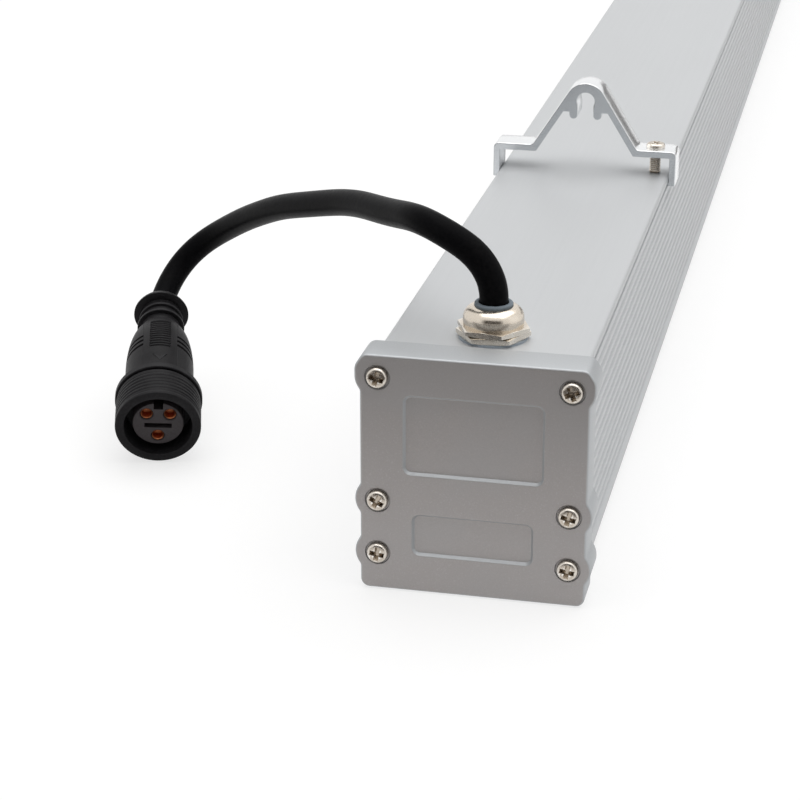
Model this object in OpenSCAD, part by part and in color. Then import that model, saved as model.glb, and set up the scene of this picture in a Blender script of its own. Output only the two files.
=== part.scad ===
// Outdoor wall washer light, lying with its glass down and its back up.
// X runs across the bar, Y along it, Z up. The origin is under the middle of
// the bar, on the surface that the two end caps rest on. Lengths are in mm.

/* [Housing] */
// Length of the lamp over both end caps
bar_len = 1000; // [960:10:1200]
// Width of the extruded housing
body_w = 57.5; // [56.5:0.5:60]
// Height of the extruded housing
body_h = 63; // [62:0.5:66]
// Side wall thickness, measured behind the plain band
wall_t = 3.2; // [3:0.1:3.6]
// Thickness of the housing's back
back_t = 2.6; // [2.2:0.1:3.2]
// Thickness of the shelf between the driver chamber and the light chamber
shelf_t = 3; // [2.5:0.1:3.5]
// Height of the shelf's middle above the bottom of the housing
shelf_rise = 23.7; // [23.4:0.1:24.5]
// Number of grooves down each side
groove_n = 15; // [10:1:15]
// Distance from one groove to the next
groove_pitch = 3.8; // [3.5:0.1:3.8]
// Radius of the fine side grooves
groove_r = 1; // [0.7:0.05:1.1]
// Depth of the top groove that the brackets hook into
hook_groove_d = 0.9; // [0.7:0.05:1]
// Height of that groove
hook_groove_h = 1.4; // [1.2:0.1:1.6]

/* [End caps] */
// Thickness of an end cap
cap_t = 12; // [10:0.5:15]
// How far a cap stands proud of the housing's back and bottom
cap_proud = 2.6; // [2:0.1:3.5]
// How far a cap stands proud of the housing's sides
cap_side = 2.25; // [1.8:0.05:3]
// Radius of the round ear behind each screw
ear_r = 6.3; // [6:0.1:6.8]
// Thickness of the rubber gasket under a cap
gasket_t = 1.5; // [1:0.1:2.5]
// Depth of the two shallow panels in a cap's face
panel_d = 1; // [0.5:0.1:1.5]

/* [Screws] */
// Thread diameter of the small machine screws
screw_d = 2.6; // [2.4:0.1:2.9]
// Head diameter of the small machine screws
head_d = 5.9; // [5.4:0.1:6.2]
// Head height of the small machine screws
head_h = 2.1; // [1.6:0.1:2.4]
// Thread diameter of the bracket's clamping screw
clamp_d = 3.9; // [3.4:0.1:4.2]
// Head diameter of the clamping screw
clamp_head_d = 6.3; // [5.8:0.1:6.8]

/* [Light] */
// Distance from one light emitting diode to the next
led_pitch = 26; // [23:0.5:30]
// Distance from the housing's ends to the first and last diode
led_end = 31.5; // [20:0.5:40]
// Diameter of a lens holder
holder_d = 21.5; // [18:0.5:22]
// Thickness of the front glass
glass_t = 4; // [3:0.5:4]
// Wall left beside the glass on each side
glass_side = 3.25; // [3:0.05:4]
// How far the lips reach over the glass on each side
glass_lip = 2.5; // [1.5:0.1:4]

/* [Bracket] */
// Width of a bracket along the bar
bracket_w = 11; // [9:0.5:15]
// Thickness of the bracket's strap
strap_t = 2.3; // [2:0.1:2.5]
// Height of the bracket's ears above the housing's back
bracket_rise = 8.6; // [8:0.1:10]
// Height of the bracket's top above the housing's back
bracket_top = 30.6; // [30:0.2:34]
// Radius of the pivot channel in the bracket's top
pivot_r = 3; // [2.5:0.1:3.1]
// Distance of a bracket's middle from its end of the lamp
bracket_inset = 202; // [160:1:260]

/* [Gland] */
// Distance of a gland's axis from its end of the lamp
gland_inset = 28; // [27.5:0.5:40]
// Width of the gland's hexagons across the flats
gland_af = 18; // [17:0.5:18.5]
// Diameter of the gland's thread
gland_thread_d = 15.2; // [14:0.2:15.4]
// Diameter of the dome
dome_d = 16.8; // [16.2:0.1:17]
// Height of the gland above the housing's back, rubber included
gland_h = 10.2; // [10:0.1:12]

/* [Cable and connector] */
// Diameter of the cable
cable_d = 8; // [7:0.1:8.2]
// Outside diameter of the connector's flange
collar_d = 27.2; // [26.4:0.1:28.4]
// Length of the threaded collar
collar_len = 12.3; // [11.5:0.1:14]
// Length of the connector from its face to its tail
conn_len = 64.5; // [61:0.5:68]
// Largest diameter of the connector's grip
grip_d = 21.4; // [20.8:0.1:22.2]
// Diameter of the socket's round insert
insert_d = 15.7; // [15:0.1:16.5]

/* [Hidden] */
$fn = 64;

// Colours, as red, green and blue shares
housing_share = [0.74, 0.75, 0.76];
cap_share = [0.56, 0.54, 0.53];
steel_share = [0.78, 0.74, 0.68];
nickel_share = [0.8, 0.74, 0.66];
rubber_share = [0.42, 0.48, 0.54];
black_share = [0.09, 0.09, 0.1];
copper_share = [0.72, 0.34, 0.2];

// Clearances and small allowances
slide_gap = 0.1; // between pieces that move on each other
fit_gap = 0.1; // between fixed pieces that slip together
run = 1; // how far a cut runs past a face

// Heights of the housing and places of its screw ports
base_z = cap_proud;
top_z = base_z + body_h;
shelf_z = base_z + shelf_rise;
shelf_top = shelf_z + shelf_t / 2;
shelf_under = shelf_z - shelf_t / 2;
mid_z = base_z + body_h / 2;
house_len = bar_len - 2 * (cap_t + gasket_t);
corner_r = 1.2; // rounding of the housing's long edges
port_inset = 2.55; // from the side of the housing to a port's middle
port_r = 3; // outside radius of a port's wall
port_x = body_w / 2 - port_inset;
top_port_drop = 3.7; // from the housing's back to the top port
low_port_rise = 8.1; // from the housing's bottom to the lowest port
port_zs = [top_z - top_port_drop, shelf_z, base_z + low_port_rise];
core_gap = 0.05; // between a screw's thread and its hole, on the radius
groove_lift = 0.1; // a groove's middle lies this far outside the wall
top_groove_drop = 2.6; // from the housing's back to the hook groove

// Glass channel
lip_t = 1.2; // thickness of the lips that hold the glass
seal_t = 0.5; // thickness of the seal below and above the glass
seal_w = 4; // how far the seal reaches in from the glass's edge
channel_h = glass_t + 2 * seal_t;
glass_z = base_z + lip_t + seal_t;
channel_w = body_w - 2 * glass_side;
glass_w = channel_w - 2 * seal_t;
window_w = glass_w - 2 * glass_lip;
roof_t = 1.2; // thickness of the ledge over the glass channel

// Cap outline
cap_w = body_w + 2 * cap_side;
cap_h = body_h + 2 * cap_proud;
cap_corner_r = 2.4;
ear_fillet_r = 2;
bore_d = head_d + 1; // counterbore round a screw head
bore_depth = 0.7;
cap_hole_gap = 0.15;
big_panel_side = 12.1; // from the cap's sides to the upper panel
big_panel_h = 22.4;
small_panel_side = 14.6; // from the cap's sides to the lower panel
small_panel_h = 11.6;
panel_r = 1.9;
big_panel_drop = 22.3; // from the cap's top to the upper panel's middle
small_panel_rise = 16.9; // from the cap's bottom to the lower panel's middle
cap_floor_t = 5; // thickness left in front of the hollow in a cap's back
hollow_side = 9.75; // wall left round the hollow, beside and above it
hollow_edge = 6.5;
hollow_w = body_w - 2 * hollow_side;
hollow_h = body_h - 2 * hollow_edge;
cap_screw_len = 20; // thread below the head
ear_rise_share = 0.45; // how far up from its screw the top ear's side runs straight
ear_cut_share = 0.365; // how much of the ear's radius the top corner's cut takes

// Shares of a pan head's half width and height, from its seat to its top
head_shares = [[1, 0], [1, 0.45], [0.8, 0.85], [0.4, 1]];
cross_shares = [0.17, 0.6, 0.55]; // width, length and depth of the cross recess

// Light chamber
led_n = 2 * floor((house_len - 2 * led_end + led_pitch) / (2 * led_pitch));
board_side = 7.75; // from the housing's sides to the boards
board_w = body_w - 2 * board_side;
board_t = 1.6;
board_end = 12; // board left past the last diode
board_split = 1; // gap between the two board halves
led_size = 3.5;
led_h = 2;
holder_h = 12;
holder_wall = 0.8;
lens_d = holder_d - 2 * holder_wall - 2 * fit_gap;
lens_gap = 0.3; // over the diode
lens_top_d = 7;
lens_rim = 1.5; // height of a lens's straight rim
holder_ledge = 0.8; // how far the holder's mouth reaches under the lens
lens_drop = 0.5; // from the holder's mouth to the lens face
led_screw_in = 4; // from the board's side
led_screw_x = board_w / 2 - led_screw_in;
led_screw_n = 4; // screws in each board half
led_span = (led_n - 1) * led_pitch;
half_board = led_span / 2 + board_end - board_split / 2;

// Driver chamber
driver_len = 260;
driver_w = board_w;
driver_inset = 80; // from the lamp's near end
driver_y = -bar_len / 2 + driver_inset + driver_len / 2;
standoff_h = 6;
standoff_af = 5.5;
standoff_stud_len = 2;
driver_hole_in = 5; // from the driver board's edges to a hole
driver_z = shelf_top + standoff_h;
driver_top = driver_z + board_t;
capacitor_r = 6.5;
capacitor_room = 7.6; // left over the capacitors
capacitor_h = top_z - back_t - driver_top - capacitor_room;
capacitor_n = 3;
capacitor_pitch = 16;
coil_r = 8;
coil_wire_r = 3.6;
chip_l = 10;
chip_w = 7;
chip_h = 2.6;
chip_n = 4;
chip_pitch = 22;
block_l = 9;
block_w = 18;
block_h = 11;
lead_d = 1.8;
lead_pitch = 5; // between the three poles of a terminal block
grommet_r = 4;
grommet_bore_r = 2.6;
grommet_gap = 20; // from the driver board's end
grommet_y = driver_y + driver_len / 2 + grommet_gap;
wire_sides = 6;

// Gland, heights above the housing's back
washer_t = 0.6;
washer_lip = 0.5; // the washer stands out this far past the flats
gland_hex_h = 1.7; // the fixed lower hexagon
nut_hex_h = 1.6; // the hexagon of the dome nut
nut_seat = washer_t + gland_hex_h;
nut_cone_shares = [0.66, 0.53]; // radius of the nut's cone below and above
lip_h = 1; // rubber that stands out of the dome
dome_top = gland_h - lip_h;
dome_shoulder_r = 3.4;
rubber_d = 10.7;
dome_hole_r = rubber_d / 2 - fit_gap;
dome_wall = 1.7;
stub_h = 3.4; // height of the body's collar inside the nut
stem_len = 8; // thread below the housing's back
locknut_h = 3;
locknut_af = 19;
gland_bore_r = cable_d / 2 + fit_gap;
nut_turn = -7; // the nut's hexagon is turned this much
body_turn = 5; // and the body's this much
gland_y = bar_len / 2 - gland_inset;
exit_z = top_z + gland_h;
entry_tail = 3.4; // sheath below the gland's thread
entry_len = gland_h + stem_len + entry_tail;

// Connector, positions counted from its face
thread_d = collar_d - 0.6;
collar_bore_r = 10.5;
collar_depth = 11; // depth of the ring-shaped gap in the collar
rim_len = 1.2;
thread_n = 4;
thread_pitch = 2.4;
thread_start = 2;
thread_depth = 0.7;
thread_w = 1.5; // width of a thread's crest
insert_set = 1.8; // the insert's face lies this far inside the collar
contact_set = 0.4; // and a contact's face this far inside the insert
contact_r = 1.95;
contact_bore_r = 1.55;
contact_deep = 6;
contact_places = [[-3.6, 3.5], [3.6, 3.5], [0, -4.6]];
key_w = 2.9;
key_d = 2.4;
slot_w = 8.4;
slot_h = 1.7;
slot_deep = 3;
slot_drop = 0.7;
conn_seal_t = 1.5;
flange_gap = 0.8; // the dark line between the collar and the flange
flange_gap_d = 24.4;
flange_t = 2.4;
tail_flange_d = 17.8;
tail_flange_t = 3.7;
tail_taper_share = 0.8;
neck_d = 12.8;
neck_len = 14.5; // neck, rings and tail flange together
tail_ring_ds = [15.2, 14.2];
tail_ring_at = [11.7, 7.5]; // from the tail to the two rings
tail_ring_t = 1.1;
grip_start = collar_len + flange_gap + flange_t;
dome_len = conn_len - neck_len - grip_start;
// Half width of the grip along its length, as shares of its radius and length
grip_shares = [[0, 1], [0.44, 1], [0.56, 0.98], [0.68, 0.94], [0.79, 0.88], [0.89, 0.79], [0.96, 0.7], [1, 0.62]];
panel_w = 6.6;
panel_from = 28.6;
panel_rib_n = 12;
panel_rib_pitch = 1.4;
panel_rib_gap = 0.75;
panel_rib_d = 0.6;
notch_from = 30.5;
notch_n = 3;
notch_pitch = 2.5;
notch_w = 0.9;
notch_d = 0.5;
notch_side = 5.4; // the notches start this far off the middle
mark_from = 21; // arrow mark on the grip
mark_len = 3;
mark_w = 4.4;
mark_t = 0.3;
conn_pitch = 15.2; // the tail is lifted by this angle
conn_yaw = 16.5; // and turned to the left by this one
conn_roll = 3.5; // and rolled to the right by this one
rest_gap = 0.1; // between the collar's lowest edge and the surface
conn_x = -111.5;
conn_y = 68.5 - bar_len / 2;
face_at = [conn_x, conn_y, thread_d / 2 * cos(conn_pitch) + rest_gap];
conn_axis = [-cos(conn_pitch) * sin(conn_yaw), cos(conn_pitch) * cos(conn_yaw), sin(conn_pitch)];
tail_at = face_at + conn_len * conn_axis;

// Route of the cable, from the gland to the connector's tail. The second
// number of a point counts from the lamp's near end.
straight_out = 4;
cable_points = [[-2, 28, 85], [-6, 28, 90], [-12, 29, 93], [-18, 32, 95], [-24, 38, 95],
  [-29, 46, 93], [-35, 54, 91], [-42, 64, 89], [-49, 74, 87], [-57, 84, 84], [-66, 94, 80],
  [-75, 104, 76], [-84, 114, 72], [-92, 123, 67], [-100, 132, 62], [-107, 139, 57],
  [-114, 145, 52], [-121, 147, 47], [-127, 145, 41], [-130, 139, 35]];
exit_at = [0, -gland_y, exit_z];
cable_route = concat([exit_at, exit_at + [0, 0, straight_out]],
  [for (p = cable_points) [p[0], p[1] - bar_len / 2, p[2]]],
  [tail_at + conn_axis * straight_out, tail_at]);
cable_sides = 12;

// Bracket outline
ear_run = 11.05; // from a leg to where the slope starts
apex_r = 7.1;
apex_wall = 3.2; // over the pivot channel
apex_z = top_z + bracket_top - apex_r;
channel_z = top_z + bracket_top - apex_wall - pivot_r;
ear_top = top_z + bracket_rise;
leg_x = body_w / 2 + slide_gap; // inner face of a leg
ear_in = leg_x - ear_run;
slope_deg = atan2(apex_z - ear_top, ear_in) + asin(apex_r / norm([ear_in, apex_z - ear_top]));
leg_corner_r = 1.8;
hook_z = top_z - top_groove_drop;
hook_h = hook_groove_h - 2 * slide_gap;
hook_len = hook_groove_d;
mouth_half = 2.65; // half of the channel's open mouth
tip_r = 1.4;
tip_drop = 4.7; // from the channel's middle to a tip's middle
web_drop = 3.8; // from the channel's middle to the web's underside
clamp_in = 5.25; // from a leg to the clamping screw's axis
clamp_x = leg_x - clamp_in;
clamp_head_h = 1.7;
bracket_y = bar_len / 2 - bracket_inset;

// Small helpers
module round_rect(w, h, r) {
  square([w - 2 * r, h], center = true);
  square([w, h - 2 * r], center = true);
  for (sx = [-1, 1])
    for (sz = [-1, 1])
      translate([sx * (w / 2 - r), sz * (h / 2 - r)])
        circle(r = r);
}

// Outline points put in anticlockwise order, so that unions join them
function twice_area(p) = [for (i = [0:len(p) - 1]) cross(p[i], p[(i + 1) % len(p)])] * [for (q = p) 1];
function turned_left(p) = twice_area(p) > 0 ? p : [for (i = [len(p) - 1:-1:0]) p[i]];
function on_side(s, p) = turned_left([for (q = p) [s * q[0], q[1]]]);

// A rectangle on the right (s = 1) or its mirror image on the left (s = -1)
module side_rect(s, x, z, w, h) {
  translate([s > 0 ? x : -x - w, z])
    square([w, h]);
}

// Turns an outline drawn in X and Z into a slab of length len, centred on y
module along_bar(len, y = 0) {
  translate([0, y, 0])
    rotate([90, 0, 0])
      linear_extrude(height = len, center = true)
        children();
}

module ring_solid(r_out, r_in, h) {
  difference() {
    cylinder(r = r_out, h = h);
    translate([0, 0, -run])
      cylinder(r = r_in, h = h + 2 * run);
  }
}

module hex_prism(af, h) {
  cylinder(r = af / 2 / cos(30), h = h, $fn = 6);
}

// Swept tubes: one ring of corners at each point of a route
function unit(v) = v / norm(v);
function heading(p, i) =
  i == 0 ? unit(p[1] - p[0]) :
  i == len(p) - 1 ? unit(p[i] - p[i - 1]) :
  unit(unit(p[i + 1] - p[i]) + unit(p[i] - p[i - 1]));
function square_to(v, t) = unit(v - (v * t) * t);
function sides_of(p, i, v) =
  i == len(p) ? [] :
  let (n = square_to(v, heading(p, i))) concat([n], sides_of(p, i + 1, n));
function ring_at(c, t, n, r, k) =
  [for (j = [0:k - 1]) c + r * (cos(360 * j / k) * n + sin(360 * j / k) * cross(t, n))];

module swept_tube(route, r, k, first_side) {
  normals = sides_of(route, 0, first_side);
  last = len(route) - 1;
  corners = [for (i = [0:last]) each ring_at(route[i], heading(route, i), normals[i], r, k)];
  walls = [for (i = [0:last - 1]) for (j = [0:k - 1]) let (a = i * k + j, b = i * k + (j + 1) % k)
    each [[a, a + k, b], [b, a + k, b + k]]];
  start_face = [for (j = [1:k - 2]) [0, j, j + 1]];
  end_face = [for (j = [1:k - 2]) [last * k, last * k + j + 1, last * k + j]];
  polyhedron(points = corners, faces = concat(walls, start_face, end_face));
}

// Housing
module side_grooves() {
  for (s = [-1, 1]) {
    translate([s * body_w / 2, hook_z])
      square([2 * hook_groove_d, hook_groove_h], center = true);
    for (i = [1:groove_n - 1])
      translate([s * (body_w / 2 + groove_lift), hook_z - i * groove_pitch])
        circle(r = groove_r, $fn = 32);
  }
}

module port_walls() {
  for (s = [-1, 1])
    for (z = port_zs)
      translate([s * port_x, z])
        circle(r = port_r);
}

module housing_outline() {
  inner_w = body_w - 2 * wall_t;
  light_low = glass_z + glass_t + seal_t + roof_t;
  difference() {
    translate([0, mid_z])
      round_rect(body_w, body_h, corner_r);
    difference() {
      union() {
        translate([-inner_w / 2, shelf_top])
          square([inner_w, top_z - back_t - shelf_top]);
        translate([-inner_w / 2, light_low])
          square([inner_w, shelf_under - light_low]);
      }
      port_walls();
    }
    translate([-channel_w / 2, base_z + lip_t])
      square([channel_w, channel_h]);
    translate([-window_w / 2, base_z - run])
      square([window_w, light_low - base_z + 2 * run]);
    side_grooves();
    for (s = [-1, 1])
      for (z = port_zs)
        translate([s * port_x, z])
          circle(r = screw_d / 2 + core_gap);
  }
}

module housing() {
  color(housing_share)
    difference() {
      along_bar(house_len)
        housing_outline();
      for (s = [-1, 1])
        translate([0, s * gland_y, top_z - back_t - run])
          cylinder(d = gland_thread_d + 2 * fit_gap, h = back_t + 2 * run);
      for (p = led_screw_places())
        translate([p[0], p[1], shelf_under - run])
          cylinder(d = screw_d + 2 * core_gap, h = shelf_t + 2 * run);
      for (p = standoff_places())
        translate([p[0], p[1], shelf_under - run])
          cylinder(d = screw_d + 2 * core_gap, h = shelf_t + 2 * run);
      translate([0, grommet_y, shelf_under - run])
        cylinder(r = grommet_r, h = shelf_t + 2 * run);
    }
}

// End caps
module ear_fillet(s, z, up) {
  dx = cap_w / 2 + ear_fillet_r - port_x;
  dz = sqrt(pow(ear_r + ear_fillet_r, 2) - dx * dx);
  touch_share = ear_r / (ear_r + ear_fillet_r);
  difference() {
    polygon(on_side(s, [[port_x, z], [cap_w / 2, z], [port_x + dx * touch_share, z + up * dz * touch_share],
      [cap_w / 2 + ear_fillet_r, z + up * dz], [port_x, z + up * dz]]));
    translate([s * (cap_w / 2 + ear_fillet_r), z + up * dz])
      circle(r = ear_fillet_r);
  }
}

module cap_outline() {
  ear_x = port_x + ear_r;
  translate([0, mid_z])
    round_rect(cap_w, cap_h, cap_corner_r);
  for (s = [-1, 1]) {
    for (z = port_zs)
      translate([s * port_x, z])
        circle(r = ear_r);
    polygon(on_side(s, [[port_x, port_zs[0]], [ear_x, port_zs[0]], [ear_x, port_zs[0] + ear_r * ear_rise_share],
      [ear_x - ear_r * ear_cut_share, top_z + cap_proud], [port_x, top_z + cap_proud]]));
    ear_fillet(s, port_zs[0], -1);
    for (z = [port_zs[1], port_zs[2]]) {
      ear_fillet(s, z, 1);
      ear_fillet(s, z, -1);
    }
  }
}

module panel(size, z) {
  along_bar(2 * panel_d)
    translate([0, z])
      round_rect(size[0], size[1], panel_r);
}

// A cap with its face at y = 0 and the lamp behind it
module end_cap() {
  color(cap_share)
    difference() {
      along_bar(cap_t, cap_t / 2)
        cap_outline();
      panel([cap_w - 2 * big_panel_side, big_panel_h], top_z + cap_proud - big_panel_drop);
      panel([cap_w - 2 * small_panel_side, small_panel_h], small_panel_rise);
      along_bar(cap_t, cap_floor_t + cap_t / 2)
        translate([0, mid_z])
          round_rect(hollow_w, hollow_h, panel_r);
      for (s = [-1, 1])
        for (z = port_zs)
          translate([s * port_x, 0, z])
            rotate([-90, 0, 0]) {
              translate([0, 0, -run])
                cylinder(d = screw_d + 2 * cap_hole_gap, h = cap_t + 2 * run);
              translate([0, 0, -run])
                cylinder(d = bore_d, h = bore_depth + run);
            }
    }
}

module end_gasket() {
  color(black_share)
    difference() {
      along_bar(gasket_t, cap_t + gasket_t / 2)
        difference() {
          translate([0, mid_z])
            round_rect(body_w, body_h, corner_r);
          translate([0, mid_z])
            round_rect(hollow_w, hollow_h, panel_r);
          for (s = [-1, 1])
            for (z = port_zs)
              translate([s * port_x, z])
                circle(r = screw_d / 2 + cap_hole_gap);
        }
    }
}

// A pan-head screw along +Z, its head's seat at z = 0 and its head below it
module pan_screw(len, d, hd, hh) {
  difference() {
    union() {
      cylinder(d = d, h = len);
      rotate_extrude()
        polygon(concat([[0, 0]], [for (p = head_shares) [hd / 2 * p[0], -hh * p[1]]], [[0, -hh]]));
    }
    for (a = [45, 135])
      rotate([0, 0, a])
        translate([-hd * cross_shares[1] / 2, -hd * cross_shares[0] / 2, -hh - run])
          cube([hd * cross_shares[1], hd * cross_shares[0], hh * cross_shares[2] + run]);
  }
}

module cap_screws() {
  color(steel_share)
    for (s = [-1, 1])
      for (z = port_zs)
        translate([s * port_x, bore_depth, z])
          rotate([-90, 0, 0])
            pan_screw(cap_screw_len, screw_d, head_d, head_h);
}

// Places what is drawn at y = 0 at the near end, or turned round at the far one
module at_near_end() {
  translate([0, -bar_len / 2, 0])
    children();
}

module at_far_end() {
  rotate([0, 0, 180])
    at_near_end()
      children();
}

// Front glass and its seals
module front_glass() {
  color([0.8, 0.88, 0.88, 0.5])
    translate([-glass_w / 2, -house_len / 2, glass_z])
      cube([glass_w, house_len, glass_t]);
}

module glass_seals() {
  color(rubber_share)
    for (s = [-1, 1])
      scale([s, 1, 1])
        along_bar(house_len)
          difference() {
            translate([channel_w / 2 - seal_w, base_z + lip_t])
              square([seal_w, channel_h]);
            translate([0, glass_z])
              square([glass_w / 2, glass_t]);
          }
}

// Light chamber
function led_y(i) = -led_span / 2 + i * led_pitch;
function led_screw_places() = [for (s = [-1, 1]) for (k = [0:led_screw_n - 1])
  [led_screw_x * (k % 2 == 0 ? 1 : -1),
    s * led_pitch * floor(led_n / 2 * (k + 0.5) / led_screw_n)]];

module led_boards() {
  color([0.93, 0.93, 0.9])
    difference() {
      for (s = [-1, 1])
        translate([-board_w / 2, s > 0 ? board_split / 2 : -board_split / 2 - half_board, shelf_under - board_t])
          cube([board_w, half_board, board_t]);
      for (p = led_screw_places())
        translate([p[0], p[1], shelf_under - board_t - run])
          cylinder(d = screw_d + 2 * cap_hole_gap, h = board_t + 2 * run);
    }
}

module leds() {
  color([0.95, 0.85, 0.45])
    for (i = [0:led_n - 1])
      translate([-led_size / 2, led_y(i) - led_size / 2, shelf_under - board_t - led_h])
        cube([led_size, led_size, led_h]);
}

module lens_holders() {
  color(black_share)
    for (i = [0:led_n - 1])
      translate([0, led_y(i), shelf_under - board_t - holder_h])
        difference() {
          cylinder(d = holder_d, h = holder_h);
          translate([0, 0, lens_drop])
            cylinder(d = holder_d - 2 * holder_wall, h = holder_h);
          translate([0, 0, -run])
            cylinder(d = holder_d - 2 * holder_wall - 2 * holder_ledge, h = holder_h);
        }
}

module lenses() {
  lens_h = holder_h - led_h - lens_gap - lens_drop;
  color([0.85, 0.9, 0.92, 0.6])
    for (i = [0:led_n - 1])
      translate([0, led_y(i), shelf_under - board_t - holder_h + lens_drop])
        rotate_extrude()
          polygon([[0, 0], [lens_d / 2, 0], [lens_d / 2, lens_rim], [lens_top_d / 2, lens_h], [0, lens_h]]);
}

module led_board_screws() {
  color(steel_share)
    for (p = led_screw_places())
      translate([p[0], p[1], shelf_under - board_t])
        pan_screw(board_t + shelf_t, screw_d, head_d, head_h);
}

// Driver chamber
function standoff_places() = [for (sx = [-1, 1]) for (sy = [-1, 1])
  [sx * (driver_w / 2 - driver_hole_in), driver_y + sy * (driver_len / 2 - driver_hole_in)]];

module driver_board() {
  color([0.1, 0.4, 0.22])
    difference() {
      translate([-driver_w / 2, driver_y - driver_len / 2, driver_z])
        cube([driver_w, driver_len, board_t]);
      for (p = standoff_places())
        translate([p[0], p[1], driver_z - run])
          cylinder(d = screw_d + 2 * cap_hole_gap, h = board_t + 2 * run);
    }
}

module board_standoffs() {
  color([0.8, 0.65, 0.3])
    for (p = standoff_places())
      translate([p[0], p[1], shelf_top]) {
        difference() {
          hex_prism(standoff_af, standoff_h);
          translate([0, 0, standoff_h - standoff_stud_len * 2])
            cylinder(d = screw_d + 2 * core_gap, h = standoff_h);
        }
        translate([0, 0, -standoff_stud_len])
          cylinder(d = screw_d, h = standoff_stud_len);
      }
}

module driver_screws() {
  color(steel_share)
    for (p = standoff_places())
      translate([p[0], p[1], driver_top])
        rotate([180, 0, 0])
          pan_screw(board_t + standoff_stud_len, screw_d, head_d, head_h);
}

module filter_capacitors() {
  color([0.15, 0.17, 0.3])
    for (i = [0:capacitor_n - 1])
      translate([0, driver_y - driver_len / 4 + (i - 1) * capacitor_pitch, driver_top])
        cylinder(r = capacitor_r, h = capacitor_h);
}

module power_inductor() {
  color(copper_share)
    translate([0, driver_y, driver_top + coil_wire_r])
      rotate_extrude()
        translate([coil_r, 0])
          circle(r = coil_wire_r);
}

module driver_chips() {
  color(black_share)
    for (i = [0:chip_n - 1])
      translate([-chip_w / 2, driver_y + driver_len / 4 + (i - (chip_n - 1) / 2) * chip_pitch - chip_l / 2,
        driver_top])
        cube([chip_w, chip_l, chip_h]);
}

block_in = 12; // from the driver board's end to a terminal block's middle
function block_y(s) = driver_y + s * (driver_len / 2 - block_in);

module terminal_blocks() {
  color([0.2, 0.5, 0.3])
    for (s = [-1, 1])
      translate([-block_w / 2, block_y(s) - block_l / 2, driver_top])
        cube([block_w, block_l, block_h]);
}

// The leads leave the sheath side by side and run to the terminal block
lead_z = driver_top + block_h / 2;
entry_low = exit_z - entry_len;

module supply_leads() {
  start_y = -gland_y;
  end_y = block_y(-1) - block_l / 2;
  drop = entry_low - lead_z;
  spread = lead_d + fit_gap;
  for (k = [-1, 0, 1])
    color([[0.2, 0.3, 0.7], [0.2, 0.2, 0.2], [0.5, 0.3, 0.15]][k + 1])
      swept_tube([[k * spread, start_y, entry_low],
        [k * spread, start_y, entry_low - drop / 4],
        [k * spread, start_y + lead_d * 2, entry_low - drop / 2],
        [k * lead_pitch, start_y + lead_d * 6, lead_z],
        [k * lead_pitch, end_y - lead_d, lead_z],
        [k * lead_pitch, end_y, lead_z]], lead_d / 2, wire_sides, [1, 0, 0]);
}

module through_leads() {
  start_y = block_y(1) + block_l / 2;
  low_z = shelf_top + lead_d / 2 + fit_gap;
  end_y = gland_y;
  for (k = [-1, 0, 1])
    color([[0.2, 0.3, 0.7], [0.2, 0.2, 0.2], [0.5, 0.3, 0.15]][k + 1])
      swept_tube([[k * lead_pitch, start_y, lead_z],
        [k * lead_pitch, start_y + lead_d, lead_z],
        [k * lead_pitch, start_y + block_in + lead_d * 14, lead_z],
        [k * lead_pitch, start_y + block_in + lead_d * 24, low_z],
        [k * lead_pitch, end_y - lead_d * 8, low_z],
        [k * lead_pitch / 2, end_y, low_z + lead_d * 6],
        [k * lead_pitch / 2, end_y, top_z - stem_len - lead_d]], lead_d / 2, wire_sides, [1, 0, 0]);
}

module led_leads() {
  start_y = block_y(1) + block_l / 2;
  spread = lead_d / 2 + fit_gap;
  for (s = [-1, 1])
    color([[0.75, 0.1, 0.1], [0.1, 0.1, 0.1]][(s + 1) / 2])
      swept_tube([[s * spread, grommet_y, shelf_under],
        [s * spread, grommet_y, shelf_top + lead_d * 2],
        [s * spread, grommet_y - lead_d * 2, driver_z + lead_d],
        [s * lead_pitch / 2, start_y + lead_d * 3, lead_z - lead_d],
        [s * lead_pitch / 2, start_y, lead_z - lead_d]], lead_d / 2, wire_sides, [1, 0, 0]);
}

module shelf_grommet() {
  rim = 1;
  color(black_share)
    translate([0, grommet_y, shelf_under])
      difference() {
        union() {
          cylinder(r = grommet_r - fit_gap, h = shelf_t);
          translate([0, 0, shelf_t])
            cylinder(r = grommet_r + rim, h = rim);
        }
        translate([0, 0, -run])
          cylinder(r = grommet_bore_r, h = shelf_t + rim + 2 * run);
      }
}

// Glands, drawn with the housing's back at z = 0
module gland_washer() {
  color(rubber_share)
    ring_solid(gland_af / 2 + washer_lip, gland_thread_d / 2 + fit_gap, washer_t);
}

module gland_body() {
  color(nickel_share)
    difference() {
      union() {
        translate([0, 0, washer_t])
          rotate([0, 0, body_turn])
            hex_prism(gland_af, gland_hex_h);
        translate([0, 0, -stem_len])
          cylinder(d = gland_thread_d, h = stem_len + washer_t + gland_hex_h);
        translate([0, 0, washer_t + gland_hex_h - run])
          cylinder(r = dome_d / 2 - dome_wall - fit_gap, h = stub_h + run);
      }
      translate([0, 0, -stem_len - run])
        cylinder(r = gland_bore_r, h = stem_len + washer_t + gland_hex_h + stub_h + 2 * run);
    }
}

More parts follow.
